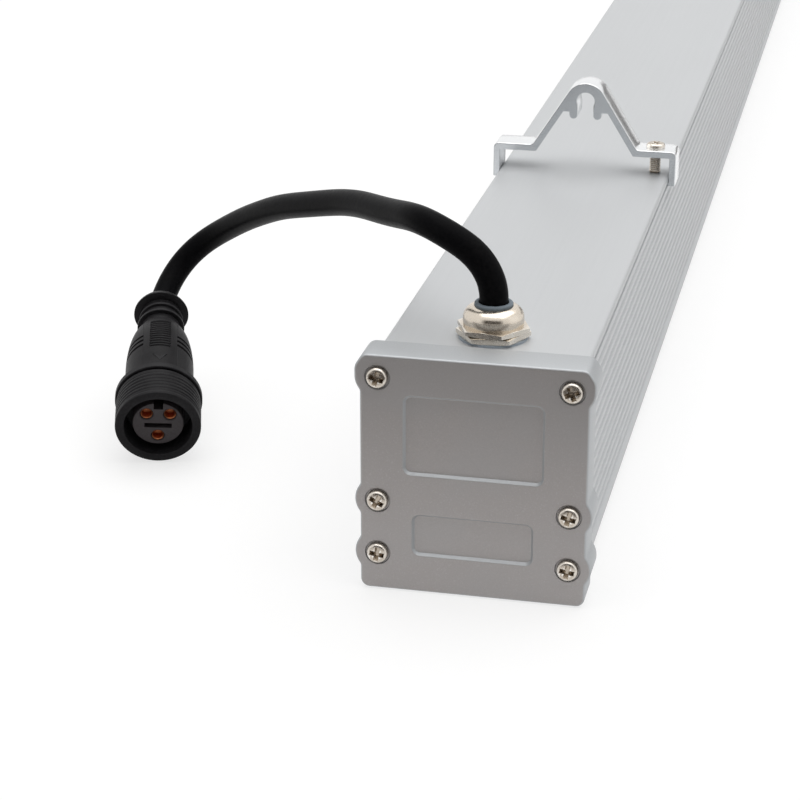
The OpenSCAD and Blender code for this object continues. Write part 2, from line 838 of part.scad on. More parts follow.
module gland_nut() {
  inner_r = dome_d / 2 - dome_wall;
  roof_z = dome_top - dome_wall;
  color(nickel_share)
    difference() {
      union() {
        intersection() {
          translate([0, 0, nut_seat])
            rotate([0, 0, nut_turn])
              hex_prism(gland_af, nut_hex_h);
          translate([0, 0, nut_seat])
            cylinder(r1 = gland_af * nut_cone_shares[0], r2 = gland_af * nut_cone_shares[1], h = nut_hex_h);
        }
        rotate_extrude()
          dome_outline();
      }
      translate([0, 0, nut_seat - run])
        cylinder(r = inner_r, h = roof_z - nut_seat + run);
      cylinder(r = dome_hole_r, h = dome_top + run);
    }
}

module dome_outline() {
  translate([0, nut_seat])
    square([dome_d / 2, dome_top - dome_shoulder_r - nut_seat]);
  square_top = dome_top - dome_shoulder_r;
  translate([0, square_top])
    square([dome_d / 2 - dome_shoulder_r, dome_shoulder_r]);
  intersection() {
    translate([dome_d / 2 - dome_shoulder_r, square_top])
      circle(r = dome_shoulder_r);
    translate([0, square_top])
      square([dome_d, dome_shoulder_r]);
  }
}

module gland_rubber() {
  foot_z = washer_t + gland_hex_h + stub_h;
  roof_z = dome_top - dome_wall;
  bead_r = lip_h / 2;
  color(rubber_share)
    difference() {
      union() {
        translate([0, 0, foot_z])
          cylinder(r = dome_d / 2 - dome_wall - fit_gap, h = roof_z - foot_z);
        translate([0, 0, foot_z])
          cylinder(r = dome_hole_r - fit_gap, h = gland_h - foot_z);
        translate([0, 0, dome_top + bead_r])
          rotate_extrude()
            translate([rubber_d / 2 - bead_r, 0])
              circle(r = bead_r, $fn = 32);
      }
      cylinder(r = gland_bore_r, h = gland_h + run);
    }
}

module gland_locknut() {
  color(nickel_share)
    translate([0, 0, -back_t - locknut_h])
      difference() {
        hex_prism(locknut_af, locknut_h);
        translate([0, 0, -run])
          cylinder(d = gland_thread_d + 2 * fit_gap, h = locknut_h + 2 * run);
      }
}

module at_near_gland() {
  translate([0, -gland_y, top_z])
    children();
}

module at_far_gland() {
  translate([0, gland_y, top_z])
    children();
}

// Cable
module cable_entry() {
  color(black_share)
    translate([0, -gland_y, entry_low])
      cylinder(d = cable_d, h = entry_len);
}

module power_cable() {
  color(black_share)
    swept_tube(cable_route, cable_d / 2, cable_sides, [1, 0, 0]);
}

// Connector, drawn with its face at the origin and its tail along +Y
module at_connector() {
  translate(face_at)
    rotate([conn_pitch, 0, conn_yaw])
      rotate([0, conn_roll, 0])
        children();
}

module turned() {
  rotate([-90, 0, 0])
    rotate_extrude()
      children();
}

module connector_collar() {
  root_r = thread_d / 2 - thread_depth;
  color(black_share)
    at_connector()
      turned()
        difference() {
          union() {
            square([root_r, collar_len]);
            square([thread_d / 2, rim_len]);
            for (i = [0:thread_n - 1])
              translate([0, thread_start + i * thread_pitch])
                square([thread_d / 2, thread_w]);
          }
          square([collar_bore_r, collar_depth]);
          square([insert_d / 2 + fit_gap, collar_len]);
        }
}

module socket_insert() {
  color([0.2, 0.2, 0.21])
    at_connector()
      difference() {
        turned()
          translate([0, insert_set])
            square([insert_d / 2, collar_len - insert_set]);
        for (p = contact_places)
          translate([p[0], 0, p[1]])
            rotate([-90, 0, 0])
              cylinder(r = contact_r + fit_gap, h = collar_len + run);
        translate([-key_w / 2, 0, insert_d / 2 - key_d])
          cube([key_w, collar_depth, key_d + run]);
        translate([-slot_w / 2, 0, -slot_drop - slot_h / 2])
          cube([slot_w, insert_set + slot_deep, slot_h]);
      }
}

module socket_contacts() {
  face = insert_set + contact_set;
  color(copper_share)
    at_connector()
      for (p = contact_places)
        translate([p[0], face, p[1]])
          rotate([-90, 0, 0])
            difference() {
              cylinder(r = contact_r, h = collar_len - face);
              translate([0, 0, -run])
                cylinder(r = contact_bore_r, h = contact_deep + run);
            }
}

module connector_seal() {
  color(rubber_share)
    at_connector()
      turned()
        translate([insert_d / 2 + fit_gap, collar_depth - conn_seal_t])
          square([collar_bore_r - insert_d / 2 - 2 * fit_gap, conn_seal_t]);
}

function grip_r(s) = grip_d / 2 * lookup((s - grip_start) / dome_len, grip_shares);

module grip_outline() {
  polygon(concat([[0, grip_start]], [for (p = grip_shares) [grip_d / 2 * p[1], grip_start + dome_len * p[0]]],
    [[0, grip_start + dome_len]]));
  translate([0, collar_len])
    square([flange_gap_d / 2, flange_gap]);
  translate([0, collar_len + flange_gap])
    square([collar_d / 2, flange_t]);
  translate([0, conn_len - neck_len])
    square([neck_d / 2, neck_len]);
  for (i = [0, 1])
    translate([0, conn_len - tail_ring_at[i]])
      square([tail_ring_ds[i] / 2, tail_ring_t]);
  polygon([[0, conn_len - tail_flange_t], [tail_flange_d / 2, conn_len - tail_flange_t],
    [tail_flange_d / 2 * tail_taper_share, conn_len], [0, conn_len]]);
}

module grip_notches() {
  difference() {
    turned()
      for (i = [0:notch_n - 1])
        translate([grip_d / 2 - notch_d, notch_from + i * notch_pitch])
          square([notch_d + run, notch_w]);
    translate([-notch_side, 0, -grip_d])
      cube([2 * notch_side, conn_len, 2 * grip_d]);
  }
}

module connector_grip() {
  color(black_share)
    at_connector() {
      difference() {
        turned()
          grip_outline();
        for (i = [0:panel_rib_n - 1])
          translate([-panel_w / 2, panel_from + i * panel_rib_pitch, grip_r(panel_from + i * panel_rib_pitch) - panel_rib_d])
            cube([panel_w, panel_rib_gap, grip_d / 2]);
        grip_notches();
      }
      translate([0, mark_from, grip_d / 2 - mark_t * 2])
        linear_extrude(height = mark_t * 3)
          polygon([[0, 0], [mark_w / 2, mark_len], [-mark_w / 2, mark_len]]);
    }
}

// Brackets, drawn with the bracket's middle at y = 0
module bracket_half(s) {
  nx = sin(slope_deg);
  nz = cos(slope_deg);
  out_x = leg_x + strap_t;
  in_corner_x = ear_in - strap_t * (1 - nz) / nx;
  foot_z = hook_z - hook_h / 2;
  // Leg with its hook
  side_rect(s, leg_x, foot_z, strap_t, ear_top - leg_corner_r - foot_z);
  side_rect(s, leg_x - hook_len, foot_z, hook_len + strap_t / 2, hook_h);
  // Ear with a round outer corner
  side_rect(s, in_corner_x, ear_top - strap_t, out_x - leg_corner_r - in_corner_x, strap_t);
  translate([s * (out_x - leg_corner_r), ear_top - leg_corner_r])
    circle(r = leg_corner_r);
  // Slope
  polygon(on_side(s, [[ear_in, ear_top], [in_corner_x, ear_top - strap_t],
    [nx * (apex_r - strap_t), apex_z + nz * (apex_r - strap_t)], [nx * apex_r, apex_z + nz * apex_r]]));
  // Side of the channel's mouth
  translate([s * (mouth_half + tip_r), channel_z - tip_drop])
    circle(r = tip_r, $fn = 32);
  side_rect(s, mouth_half, channel_z - tip_drop, 2 * tip_r, tip_drop - web_drop + tip_r);
}

// The solid top between the slopes, with the pivot channel and its mouth
module bracket_top_outline() {
  nx = sin(slope_deg);
  nz = cos(slope_deg);
  mid_r = apex_r - strap_t / 2;
  web_z = channel_z - web_drop;
  web_x = nx * mid_r + (apex_z + nz * mid_r - web_z) * nz / nx;
  difference() {
    union() {
      intersection() {
        translate([0, apex_z])
          circle(r = apex_r);
        translate([-2 * apex_r, channel_z])
          square([4 * apex_r, 2 * apex_r]);
      }
      polygon([[-web_x, web_z], [web_x, web_z], [nx * mid_r, apex_z + nz * mid_r],
        [-nx * mid_r, apex_z + nz * mid_r]]);
    }
    translate([0, channel_z])
      circle(r = pivot_r);
    translate([-mouth_half, web_z - run])
      square([2 * mouth_half, web_drop + run]);
  }
}

module bracket_outline() {
  for (s = [-1, 1])
    bracket_half(s);
  bracket_top_outline();
}

module bracket() {
  color(housing_share)
    difference() {
      along_bar(bracket_w)
        bracket_outline();
      translate([clamp_x, 0, ear_top - strap_t - run])
        cylinder(d = clamp_d + 2 * core_gap, h = strap_t + 2 * run);
    }
}

module clamp_screw() {
  color(nickel_share)
    translate([clamp_x, 0, ear_top])
      rotate([180, 0, 0])
        pan_screw(bracket_rise, clamp_d, clamp_head_d, clamp_head_h);
}

module at_near_bracket() {
  translate([0, -bracket_y, 0])
    children();
}

module at_far_bracket() {
  rotate([0, 0, 180])
    at_near_bracket()
      children();
}

module end_cap_near() {
  at_near_end()
    end_cap();
}

module end_cap_far() {
  at_far_end()
    end_cap();
}

module end_gasket_near() {
  at_near_end()
    end_gasket();
}

module end_gasket_far() {
  at_far_end()
    end_gasket();
}

module cap_screws_near() {
  at_near_end()
    cap_screws();
}

module cap_screws_far() {
  at_far_end()
    cap_screws();
}

module gland_washer_near() {
  at_near_gland()
    gland_washer();
}

module gland_washer_far() {
  at_far_gland()
    gland_washer();
}

module gland_body_near() {
  at_near_gland()
    gland_body();
}

module gland_body_far() {
  at_far_gland()
    gland_body();
}

module gland_nut_near() {
  at_near_gland()
    gland_nut();
}

module gland_nut_far() {
  at_far_gland()
    gland_nut();
}

module gland_rubber_near() {
  at_near_gland()
    gland_rubber();
}

module gland_rubber_far() {
  at_far_gland()
    gland_rubber();
}

module gland_locknut_near() {
  at_near_gland()
    gland_locknut();
}

module gland_locknut_far() {
  at_far_gland()
    gland_locknut();
}

module bracket_near() {
  at_near_bracket()
    bracket();
}

module bracket_far() {
  at_far_bracket()
    bracket();
}

module clamp_screw_near() {
  at_near_bracket()
    clamp_screw();
}

module clamp_screw_far() {
  at_far_bracket()
    clamp_screw();
}

housing();
end_cap_near();
end_cap_far();
end_gasket_near();
end_gasket_far();
cap_screws_near();
cap_screws_far();
front_glass();
glass_seals();
led_boards();
leds();
lens_holders();
lenses();
led_board_screws();
driver_board();
board_standoffs();
driver_screws();
filter_capacitors();
power_inductor();
driver_chips();
terminal_blocks();
supply_leads();
through_leads();
led_leads();
shelf_grommet();
gland_washer_near();
gland_body_near();
gland_nut_near();
gland_rubber_near();
gland_locknut_near();
gland_washer_far();
gland_body_far();
gland_nut_far();
gland_rubber_far();
gland_locknut_far();
cable_entry();
power_cable();
connector_grip();
connector_collar();
socket_insert();
socket_contacts();
connector_seal();
bracket_near();
clamp_screw_near();
bracket_far();
clamp_screw_far();
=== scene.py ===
# Looks of the outdoor wall washer light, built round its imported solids.
import bpy
import bmesh
import math
from mathutils import Matrix, Vector


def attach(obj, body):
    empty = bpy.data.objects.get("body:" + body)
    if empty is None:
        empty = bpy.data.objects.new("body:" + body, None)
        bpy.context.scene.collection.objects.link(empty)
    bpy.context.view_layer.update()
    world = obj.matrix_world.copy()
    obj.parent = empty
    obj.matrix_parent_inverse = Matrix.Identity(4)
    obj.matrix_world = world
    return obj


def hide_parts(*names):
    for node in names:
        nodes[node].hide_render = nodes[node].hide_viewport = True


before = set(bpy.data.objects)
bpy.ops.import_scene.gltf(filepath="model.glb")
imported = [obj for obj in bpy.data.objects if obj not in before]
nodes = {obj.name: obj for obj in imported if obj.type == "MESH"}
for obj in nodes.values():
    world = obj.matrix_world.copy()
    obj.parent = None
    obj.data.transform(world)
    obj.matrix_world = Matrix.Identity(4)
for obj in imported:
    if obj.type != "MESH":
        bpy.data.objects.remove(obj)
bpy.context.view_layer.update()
mm = 0.001
print("frame loaded:", len(nodes), "nodes")

# The place, tilt, turn and lens that put the lamp where the photograph has it
photoCamera = {"place": (0.10526, -1.05966, 0.28104), "tilt": 68.573, "turn": 12.607, "lens": 104.28,
    "nearClip": 0.01}

cameraData = bpy.data.cameras.new("photoCamera")
cameraData.lens = photoCamera["lens"]
cameraData.clip_start = photoCamera["nearClip"]
camera = bpy.data.objects.new("photoCamera", cameraData)
camera.location = photoCamera["place"]
camera.rotation_euler = (math.radians(photoCamera["tilt"]), 0, math.radians(photoCamera["turn"]))
bpy.context.scene.collection.objects.link(camera)
bpy.context.scene.camera = camera


def addNode(tree, kind, feeds=(), values=(), **settings):
    # A node and what feeds its sockets: an output, or a node for its first output
    node = tree.nodes.new(kind)
    for name, value in settings.items():
        setattr(node, name, value)
    for socket, value in values:
        node.inputs[socket].default_value = value
    for socket, source in feeds:
        tree.links.new(source.outputs[0] if hasattr(source, "outputs") else source, node.inputs[socket])
    return node


# Finishes: each is a tone with shades laid over it and relief under it, all on
# the object's own coordinates. Scales are in patterns a metre, depths in mm.
# The last band spreads the painted light on faces by which way they face
shading = {"band": (0.4, 0.62), "detail": 3, "glossDetail": 4, "glossBand": (0.3, 0.7), "turnedBand": (0.97, 0.8)}


def shade(colour, scale, amount, **more):
    return {"colour": colour, "scale": scale, "amount": amount, **more}


def grain(scale, depth, **more):
    return {"scale": scale, "depth": depth, **more}


def addPattern(tree, layer):
    spot = addNode(tree, "ShaderNodeTexCoord").outputs["Object"]
    stretch = addNode(tree, "ShaderNodeMapping", [("Vector", spot)], [("Scale", layer.get("stretch", (1, 1, 1)))])
    feeds, values = [("Vector", stretch)], [("Scale", layer["scale"])]
    if layer.get("cells"):
        return addNode(tree, "ShaderNodeTexVoronoi", feeds, values).outputs["Color"]
    values.append(("Detail", layer.get("detail", shading["detail"])))
    return addNode(tree, "ShaderNodeTexNoise", feeds, values).outputs["Fac"]


def addSpread(tree, value, given, wanted):
    limits = zip(("From Min", "From Max", "To Min", "To Max"), (*given, *wanted))
    return addNode(tree, "ShaderNodeMapRange", [("Value", value)], limits).outputs["Result"]


def giveTone(tree, tone, socket):
    if isinstance(tone, tuple):
        socket.default_value = (*tone, 1)
    else:
        tree.links.new(tone, socket)


def addShade(tree, below, layer, value, given):
    amount = addSpread(tree, value, given, (0, layer["amount"]))
    node = addNode(tree, "ShaderNodeMix", [(0, amount)], [(7, (*layer["colour"], 1))], data_type="RGBA")
    giveTone(tree, below, node.inputs[6])
    return node.outputs[2]


def makeFinish(name, look):
    material = bpy.data.materials.new(name)
    material.use_nodes = True
    tree = material.node_tree
    shader = tree.nodes["Principled BSDF"]
    for key, socket in (("metallic", "Metallic"), ("specular", "Specular IOR Level"), ("ior", "IOR"),
            ("clear", "Transmission Weight")):
        if key in look:
            shader.inputs[socket].default_value = look[key]
    tone = look["tone"]
    for layer in look.get("shades", []):
        tone = addShade(tree, tone, layer, addPattern(tree, layer), layer.get("band", shading["band"]))
    # Painted light: faces that don't face along Y (tops, sides and walls) are painted lighter, as if lit from above
    if "turned" in look:
        facing = addNode(tree, "ShaderNodeTexCoord").outputs["Normal"]
        across = addNode(tree, "ShaderNodeSeparateXYZ", [(0, facing)]).outputs["Y"]
        size = addNode(tree, "ShaderNodeMath", [(0, across)], operation="ABSOLUTE").outputs[0]
        tone = addShade(tree, tone, look["turned"], size, shading["turnedBand"])
    # Painted highlight: convex edges, found by pointiness, are painted lighter
    if "paintedEdgeHighlight" in look:
        edges = addNode(tree, "ShaderNodeNewGeometry").outputs["Pointiness"]
        tone = addShade(tree, tone, look["paintedEdgeHighlight"], edges, look["paintedEdgeHighlight"]["band"])
    giveTone(tree, tone, shader.inputs["Base Color"])
    gloss = {"scale": look.get("roughScale", 600), "stretch": look.get("roughStretch", (1, 1, 1)),
        "detail": shading["glossDetail"]}
    rough = addSpread(tree, addPattern(tree, gloss), shading["glossBand"], look["rough"])
    tree.links.new(rough, shader.inputs["Roughness"])
    below = None
    for layer in look.get("relief", []):
        feeds = [("Height", addPattern(tree, layer))] + ([("Normal", below)] if below else [])
        bump = addNode(tree, "ShaderNodeBump", feeds, [("Distance", layer["depth"] * mm), ("Strength", 1)])
        below = bump.outputs["Normal"]
    if below:
        tree.links.new(below, shader.inputs["Normal"])
    return material



alongBar = (1, 0.012, 1)
finishes = {
    # Satin anodised extrusion with faint die lines along the bar
    "housingSilver": dict(tone=(0.575, 0.588, 0.6), metallic=0.3, rough=(0.44, 0.48), roughScale=900,
        roughStretch=alongBar, specular=0.2,
        shades=[shade((0.54, 0.552, 0.565), 700, 0.12, stretch=alongBar),
        shade((0.62, 0.63, 0.64), 2600, 0.1, stretch=(1, 0.02, 1)),
        shade((0.55, 0.562, 0.574), 30, 0.3, stretch=(1, 0.3, 1))], relief=[grain(4200, 0.001)]),
    # Cast cap under a fine metallic lacquer; its tops, sides and panel walls are painted lighter than its front,
    # painted light from above
    "capLacquer": dict(tone=(0.425, 0.4, 0.393), metallic=0.65, rough=(0.42, 0.56), roughScale=2200,
        specular=0.3, shades=[shade((0.38, 0.365, 0.36), 2600, 0.45),
        shade((0.52, 0.52, 0.52), 3400, 0.4, cells=True, band=(0.72, 0.95)),
        shade((0.41, 0.4, 0.4), 45, 0.5)], turned=dict(colour=(0.45, 0.47, 0.485), amount=0.85),
        relief=[grain(1500, 0.02), grain(4200, 0.01)]),
    # Bright zinc-plated aluminium brackets; their tops and sides are painted near white, a painted highlight from the
    # lamp above
    "bracketBright": dict(tone=(0.72, 0.75, 0.78), metallic=0.75, rough=(0.17, 0.24), roughScale=300,
        specular=0.4, shades=[shade((0.66, 0.69, 0.72), 160, 0.3, stretch=(1, 0.25, 1)),
        shade((0.76, 0.78, 0.8), 1400, 0.2, stretch=(1, 0.06, 1))],
        turned=dict(colour=(0.86, 0.87, 0.88), amount=0.9),
        relief=[grain(900, 0.0006, stretch=(1, 0.05, 1))]),
    # Nickel screws; the bright rims of their heads are a painted highlight on the edges
    "screwNickel": dict(tone=(0.5, 0.44, 0.37), metallic=1, rough=(0.2, 0.32), roughScale=1600,
        shades=[shade((0.44, 0.38, 0.31), 700, 0.5),
        shade((0.34, 0.28, 0.22), 260, 0.4, band=(0.55, 0.75))],
        paintedEdgeHighlight=dict(colour=(0.92, 0.89, 0.84), band=(0.515, 0.57), amount=0.95), relief=[grain(2600, 0.01)]),
    # Nickel-plated gland; its edges carry a painted highlight
    "glandNickel": dict(tone=(0.66, 0.59, 0.5), metallic=1, rough=(0.22, 0.3), roughScale=1300,
        shades=[shade((0.58, 0.5, 0.41), 240, 0.25),
        shade((0.76, 0.71, 0.64), 1900, 0.3, stretch=(1, 1, 6))],
        paintedEdgeHighlight=dict(colour=(0.9, 0.87, 0.81), band=(0.53, 0.61), amount=0.6), relief=[grain(160, 0.003)]),
    "glandRubber": dict(tone=(0.21, 0.25, 0.285), rough=(0.55, 0.7), roughScale=1200, specular=0.3,
        shades=[shade((0.19, 0.22, 0.25), 800, 0.5), shade((0.13, 0.16, 0.19), 3000, 0.4)],
        relief=[grain(3000, 0.015), grain(500, 0.03)]),
    "washerRubber": dict(tone=(0.36, 0.41, 0.46), rough=(0.55, 0.7), roughScale=1200,
        shades=[shade((0.3, 0.35, 0.4), 900, 0.5)], relief=[grain(2600, 0.015)]),
    "gasketRubber": dict(tone=(0.018, 0.018, 0.019), rough=(0.55, 0.75), roughScale=1500, specular=0.25,
        shades=[shade((0.034, 0.034, 0.036), 1800, 0.5)], relief=[grain(2800, 0.015)]),
    # Moulded rubber sheath
    "cableRubber": dict(tone=(0.005, 0.005, 0.0055), rough=(0.3, 0.4), roughScale=900, specular=0.3,
        ior=1.1, shades=[shade((0.009, 0.0085, 0.009), 1100, 0.6), shade((0.004, 0.004, 0.005), 70, 0.5)],
        relief=[grain(3600, 0.004), grain(420, 0.01)]),
    # Glass-filled nylon of the connector; its sharp edges are painted lighter, a painted highlight
    "connectorNylon": dict(tone=(0.013, 0.0125, 0.0135), rough=(0.38, 0.5), roughScale=1500, specular=0.4,
        ior=1.2, shades=[shade((0.026, 0.025, 0.027), 1500, 0.55),
        shade((0.009, 0.0085, 0.0095), 180, 0.5)],
        paintedEdgeHighlight=dict(colour=(0.07, 0.07, 0.074), band=(0.53, 0.62), amount=0.5), relief=[grain(3200, 0.01),
        grain(700, 0.014)]),
    "insertNylon": dict(tone=(0.043, 0.036, 0.038), rough=(0.5, 0.65), roughScale=1700, specular=0.3,
        shades=[shade((0.05, 0.045, 0.048), 1500, 0.5)], relief=[grain(2600, 0.015)]),
    "contactCopper": dict(tone=(0.42, 0.15, 0.06), metallic=0.9, rough=(0.3, 0.45), roughScale=1400,
        shades=[shade((0.36, 0.12, 0.05), 600, 0.5), shade((0.5, 0.22, 0.12), 1900, 0.35)],
        relief=[grain(2300, 0.012)]),
    "frontGlass": dict(tone=(0.93, 0.97, 0.95), rough=(0.01, 0.04), roughScale=60, clear=1, ior=1.5,
        shades=[shade((0.88, 0.95, 0.92), 25, 0.5)]),
    "lensClear": dict(tone=(0.95, 0.96, 0.97), rough=(0.03, 0.12), roughScale=500, clear=0.9, ior=1.49,
        shades=[shade((0.88, 0.9, 0.92), 300, 0.5)], relief=[grain(900, 0.05, cells=True)]),
    "holderPlastic": dict(tone=(0.025, 0.025, 0.027), rough=(0.4, 0.55), roughScale=1500, specular=0.3,
        shades=[shade((0.04, 0.04, 0.042), 900, 0.5)], relief=[grain(2500, 0.015)]),
    "boardWhite": dict(tone=(0.8, 0.8, 0.78), rough=(0.3, 0.42), roughScale=700,
        shades=[shade((0.7, 0.71, 0.69), 240, 0.6, stretch=(1, 0.12, 1), band=(0.5, 0.53)),
        shade((0.86, 0.86, 0.85), 900, 0.4)], relief=[grain(240, 0.02, stretch=(1, 0.12, 1))]),
    "ledCeramic": dict(tone=(0.78, 0.77, 0.73), rough=(0.4, 0.55), roughScale=1600,
        shades=[shade((0.68, 0.67, 0.63), 1500, 0.4)], relief=[grain(2500, 0.01)]),
    "ledPhosphor": dict(tone=(0.83, 0.6, 0.1), rough=(0.25, 0.4), roughScale=1500,
        shades=[shade((0.9, 0.72, 0.2), 1300, 0.6)], relief=[grain(2600, 0.01)]),
    "boardGreen": dict(tone=(0.02, 0.13, 0.05), rough=(0.25, 0.4), roughScale=900,
        shades=[shade((0.035, 0.2, 0.08), 300, 0.8, stretch=(1, 0.2, 1), band=(0.5, 0.53))],
        relief=[grain(300, 0.03, stretch=(1, 0.2, 1))]),
    "standoffBrass": dict(tone=(0.72, 0.53, 0.2), metallic=1, rough=(0.25, 0.4), roughScale=1200,
        shades=[shade((0.55, 0.38, 0.12), 500, 0.5)], relief=[grain(1500, 0.01, stretch=(1, 1, 5))]),
    "capacitorSleeve": dict(tone=(0.02, 0.025, 0.08), rough=(0.25, 0.4), roughScale=900,
        shades=[shade((0.05, 0.055, 0.12), 500, 0.5, stretch=(1, 1, 0.2))], relief=[grain(500, 0.04)]),
    "coilCopper": dict(tone=(0.6, 0.22, 0.08), metallic=1, rough=(0.25, 0.4), roughScale=900,
        shades=[shade((0.4, 0.12, 0.04), 900, 0.6)], relief=[grain(900, 0.2, stretch=(1, 1, 0.1))]),
    "blockGreen": dict(tone=(0.03, 0.24, 0.09), rough=(0.35, 0.5), roughScale=900,
        shades=[shade((0.05, 0.32, 0.13), 400, 0.5)], relief=[grain(2200, 0.02)]),
    "chipBlack": dict(tone=(0.02, 0.02, 0.021), rough=(0.4, 0.6), roughScale=1800,
        shades=[shade((0.035, 0.035, 0.036), 1500, 0.5)], relief=[grain(3000, 0.015)]),
    "leadPlastic": dict(tone=(0.25, 0.04, 0.03), rough=(0.35, 0.5), roughScale=900,
        shades=[shade((0.32, 0.06, 0.05), 500, 0.5)], relief=[grain(2000, 0.01)]),
}
finish = {name: makeFinish(name, look) for name, look in finishes.items()}
print("finishes made:", len(finish))


# Outlines and rings
def arcPoints(x, z, radius, start, end, steps):
    angles = [math.radians(start + (end - start) * i / steps) for i in range(steps + 1)]
    return [(x + radius * math.cos(a), z + radius * math.sin(a)) for a in angles]


def softened(points, size, steps=3, closed=False):
    # Every corner of a line is cut back by size and bent round
    made = []
    count = len(points)
    for i, corner in enumerate(points):
        if not closed and i in (0, count - 1):
            made.append(corner)
            continue
        here = Vector(corner)
        back = Vector(points[i - 1]) - here
        on = Vector(points[(i + 1) % count]) - here
        cut = min(size, back.length * 0.45, on.length * 0.45)
        start, end = here + back.normalized() * cut, here + on.normalized() * cut
        for k in range(steps + 1):
            t = k / steps
            made.append(tuple(start * (1 - t) ** 2 + here * 2 * t * (1 - t) + end * t * t))
    return made


def offsetLoop(points, inset):
    # Moves an anticlockwise outline inwards
    made = []
    count = len(points)
    for i, point in enumerate(points):
        here = Vector(point)
        before = (here - Vector(points[i - 1])).normalized()
        after = (Vector(points[(i + 1) % count]) - here).normalized()
        lean = Vector((-before.y - after.y, before.x + after.x)) / 2
        made.append(tuple(here + lean * inset / max(lean.length_squared, 0.3)))
    return made


def rectLoop(x, z, width, height, radius, steps=6):
    made = []
    for sx, sz, start in ((1, -1, -90), (1, 1, 0), (-1, 1, 90), (-1, -1, 180)):
        made += arcPoints(x + sx * (width / 2 - radius), z + sz * (height / 2 - radius), radius, start,
            start + 90, steps)
    return made


def circleLoop(x, z, radius, sides):
    return arcPoints(x, z, radius, 0, 360 * (sides - 1) / sides, sides - 1)


def addRings(shape, rings, closed=False):
    # Joins rings of as many points each. A ring of one point is a pole.
    rows = [[shape.verts.new(p) for p in ring] for ring in rings]
    pairs = list(zip(rows, rows[1:])) + ([(rows[-1], rows[0])] if closed else [])
    for a, b in pairs:
        count = max(len(a), len(b))
        for i in range(count):
            j = (i + 1) % count
            corners = [a[i % len(a)], a[j % len(a)], b[j % len(b)], b[i % len(b)]]
            shape.faces.new(dict.fromkeys(corners))
    return rows


def fillBetween(shape, loops):
    edges = []
    for row in loops:
        for a, b in zip(row, row[1:] + row[:1]):
            edges.append(shape.edges.get((a, b)) or shape.edges.new((a, b)))
    bmesh.ops.triangle_fill(shape, edges=edges, use_beauty=True)


def spunRings(profile, sides, radiusAt=None):
    # A profile of (radius, height) points turned round Z
    rings = []
    for radius, height in profile:
        if radius == 0:
            rings.append([(0, 0, height)])
            continue
        ring = []
        for i in range(sides):
            angle = 2 * math.pi * i / sides
            r, z = radiusAt(radius, height, angle) if radiusAt else (radius, height)
            ring.append((r * math.cos(angle), r * math.sin(angle), z))
        rings.append(ring)
    return rings


def ringShape(rings, closed=False):
    shape = bmesh.new()
    addRings(shape, rings, closed)
    return shape


def spun(profile, sides, closed=False):
    return ringShape(spunRings(profile, sides), closed)


def slabRings(outline, front, back, edge, steps=4):
    # Loops of a slab between two heights of Y, with both its rims rounded
    rings = [(edge + 0.06, front)]
    for i in range(steps + 1):
        a = math.pi / 2 * i / steps
        rings.append((edge * (1 - math.sin(a)), front + edge * (1 - math.cos(a))))
    rings += [(inset, front + back - y) for inset, y in reversed(rings)]
    return [[(x, y, z) for x, z in offsetLoop(outline, inset)] for inset, y in rings]


# Handing pieces over
def finishMesh(mesh, angle):
    mesh.shade_smooth()
    mesh.set_sharp_from_angle(angle=math.radians(angle))


def meshOf(name, shape, place=None, angle=32):
    if place:
        shape.transform(place)
    shape.transform(Matrix.Scale(mm, 4))
    bmesh.ops.recalc_face_normals(shape, faces=shape.faces)
    mesh = bpy.data.meshes.new(name)
    shape.to_mesh(mesh)
    shape.free()
    finishMesh(mesh, angle)
    return mesh


def addObject(name, mesh):
    thing = bpy.data.objects.new(name, mesh)
    bpy.context.scene.collection.objects.link(thing)
    return thing


def handOver(name, mesh, look, body, replaced=()):
    # Only the last step of a piece: a plain mesh at the origin, on its body
    mesh.name = name
    mesh.materials.clear()
    mesh.materials.append(finish[look])
    piece = addObject(name, mesh)
    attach(piece, body)
    if replaced:
        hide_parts(*replaced)
    return piece


def evaluatedMesh(thing, angle=32):
    bpy.context.view_layer.update()
    graph = bpy.context.evaluated_depsgraph_get()
    mesh = bpy.data.meshes.new_from_object(thing.evaluated_get(graph))
    thing.modifiers.clear()
    finishMesh(mesh, angle)
    return mesh


def cutBy(name, mesh, cutters, angle=32):
    # Takes a shape of millimetres, already placed, out of a mesh
    bmesh.ops.recalc_face_normals(cutters, faces=cutters.faces)
    cutters.transform(Matrix.Scale(mm, 4))
    tool = bpy.data.meshes.new("cutter")
    cutters.to_mesh(tool)
    cutters.free()
    body, cutter = addObject(name + "Blank", mesh), addObject("cutter", tool)
    change = body.modifiers.new("cut", "BOOLEAN")
    change.operation, change.solver, change.object = "DIFFERENCE", "EXACT", cutter
    made = evaluatedMesh(body, angle)
    for thing in (body, cutter):
        bpy.data.objects.remove(thing)
    return made


# Geometry Nodes
def newTree(name, sockets):
    tree = bpy.data.node_groups.new(name, "GeometryNodeTree")
    for label, kind, start in [("Geometry", "Geometry", None), *sockets, ("Finish", "Material", None)]:
        socket = tree.interface.new_socket(name=label, in_out="INPUT", socket_type="NodeSocket" + kind)
        if start is not None:
            socket.default_value = start
    tree.interface.new_socket(name="Geometry", in_out="OUTPUT", socket_type="NodeSocketGeometry")
    return tree, addNode(tree, "NodeGroupInput").outputs


def endTree(tree, given, source):
    # Every tree ends in real geometry with its finish on it
    real = addNode(tree, "GeometryNodeRealizeInstances", [(0, source)])
    paint = addNode(tree, "GeometryNodeSetMaterial", [("Geometry", real), ("Material", given["Finish"])])
    addNode(tree, "NodeGroupOutput", [(0, paint)])
    return tree


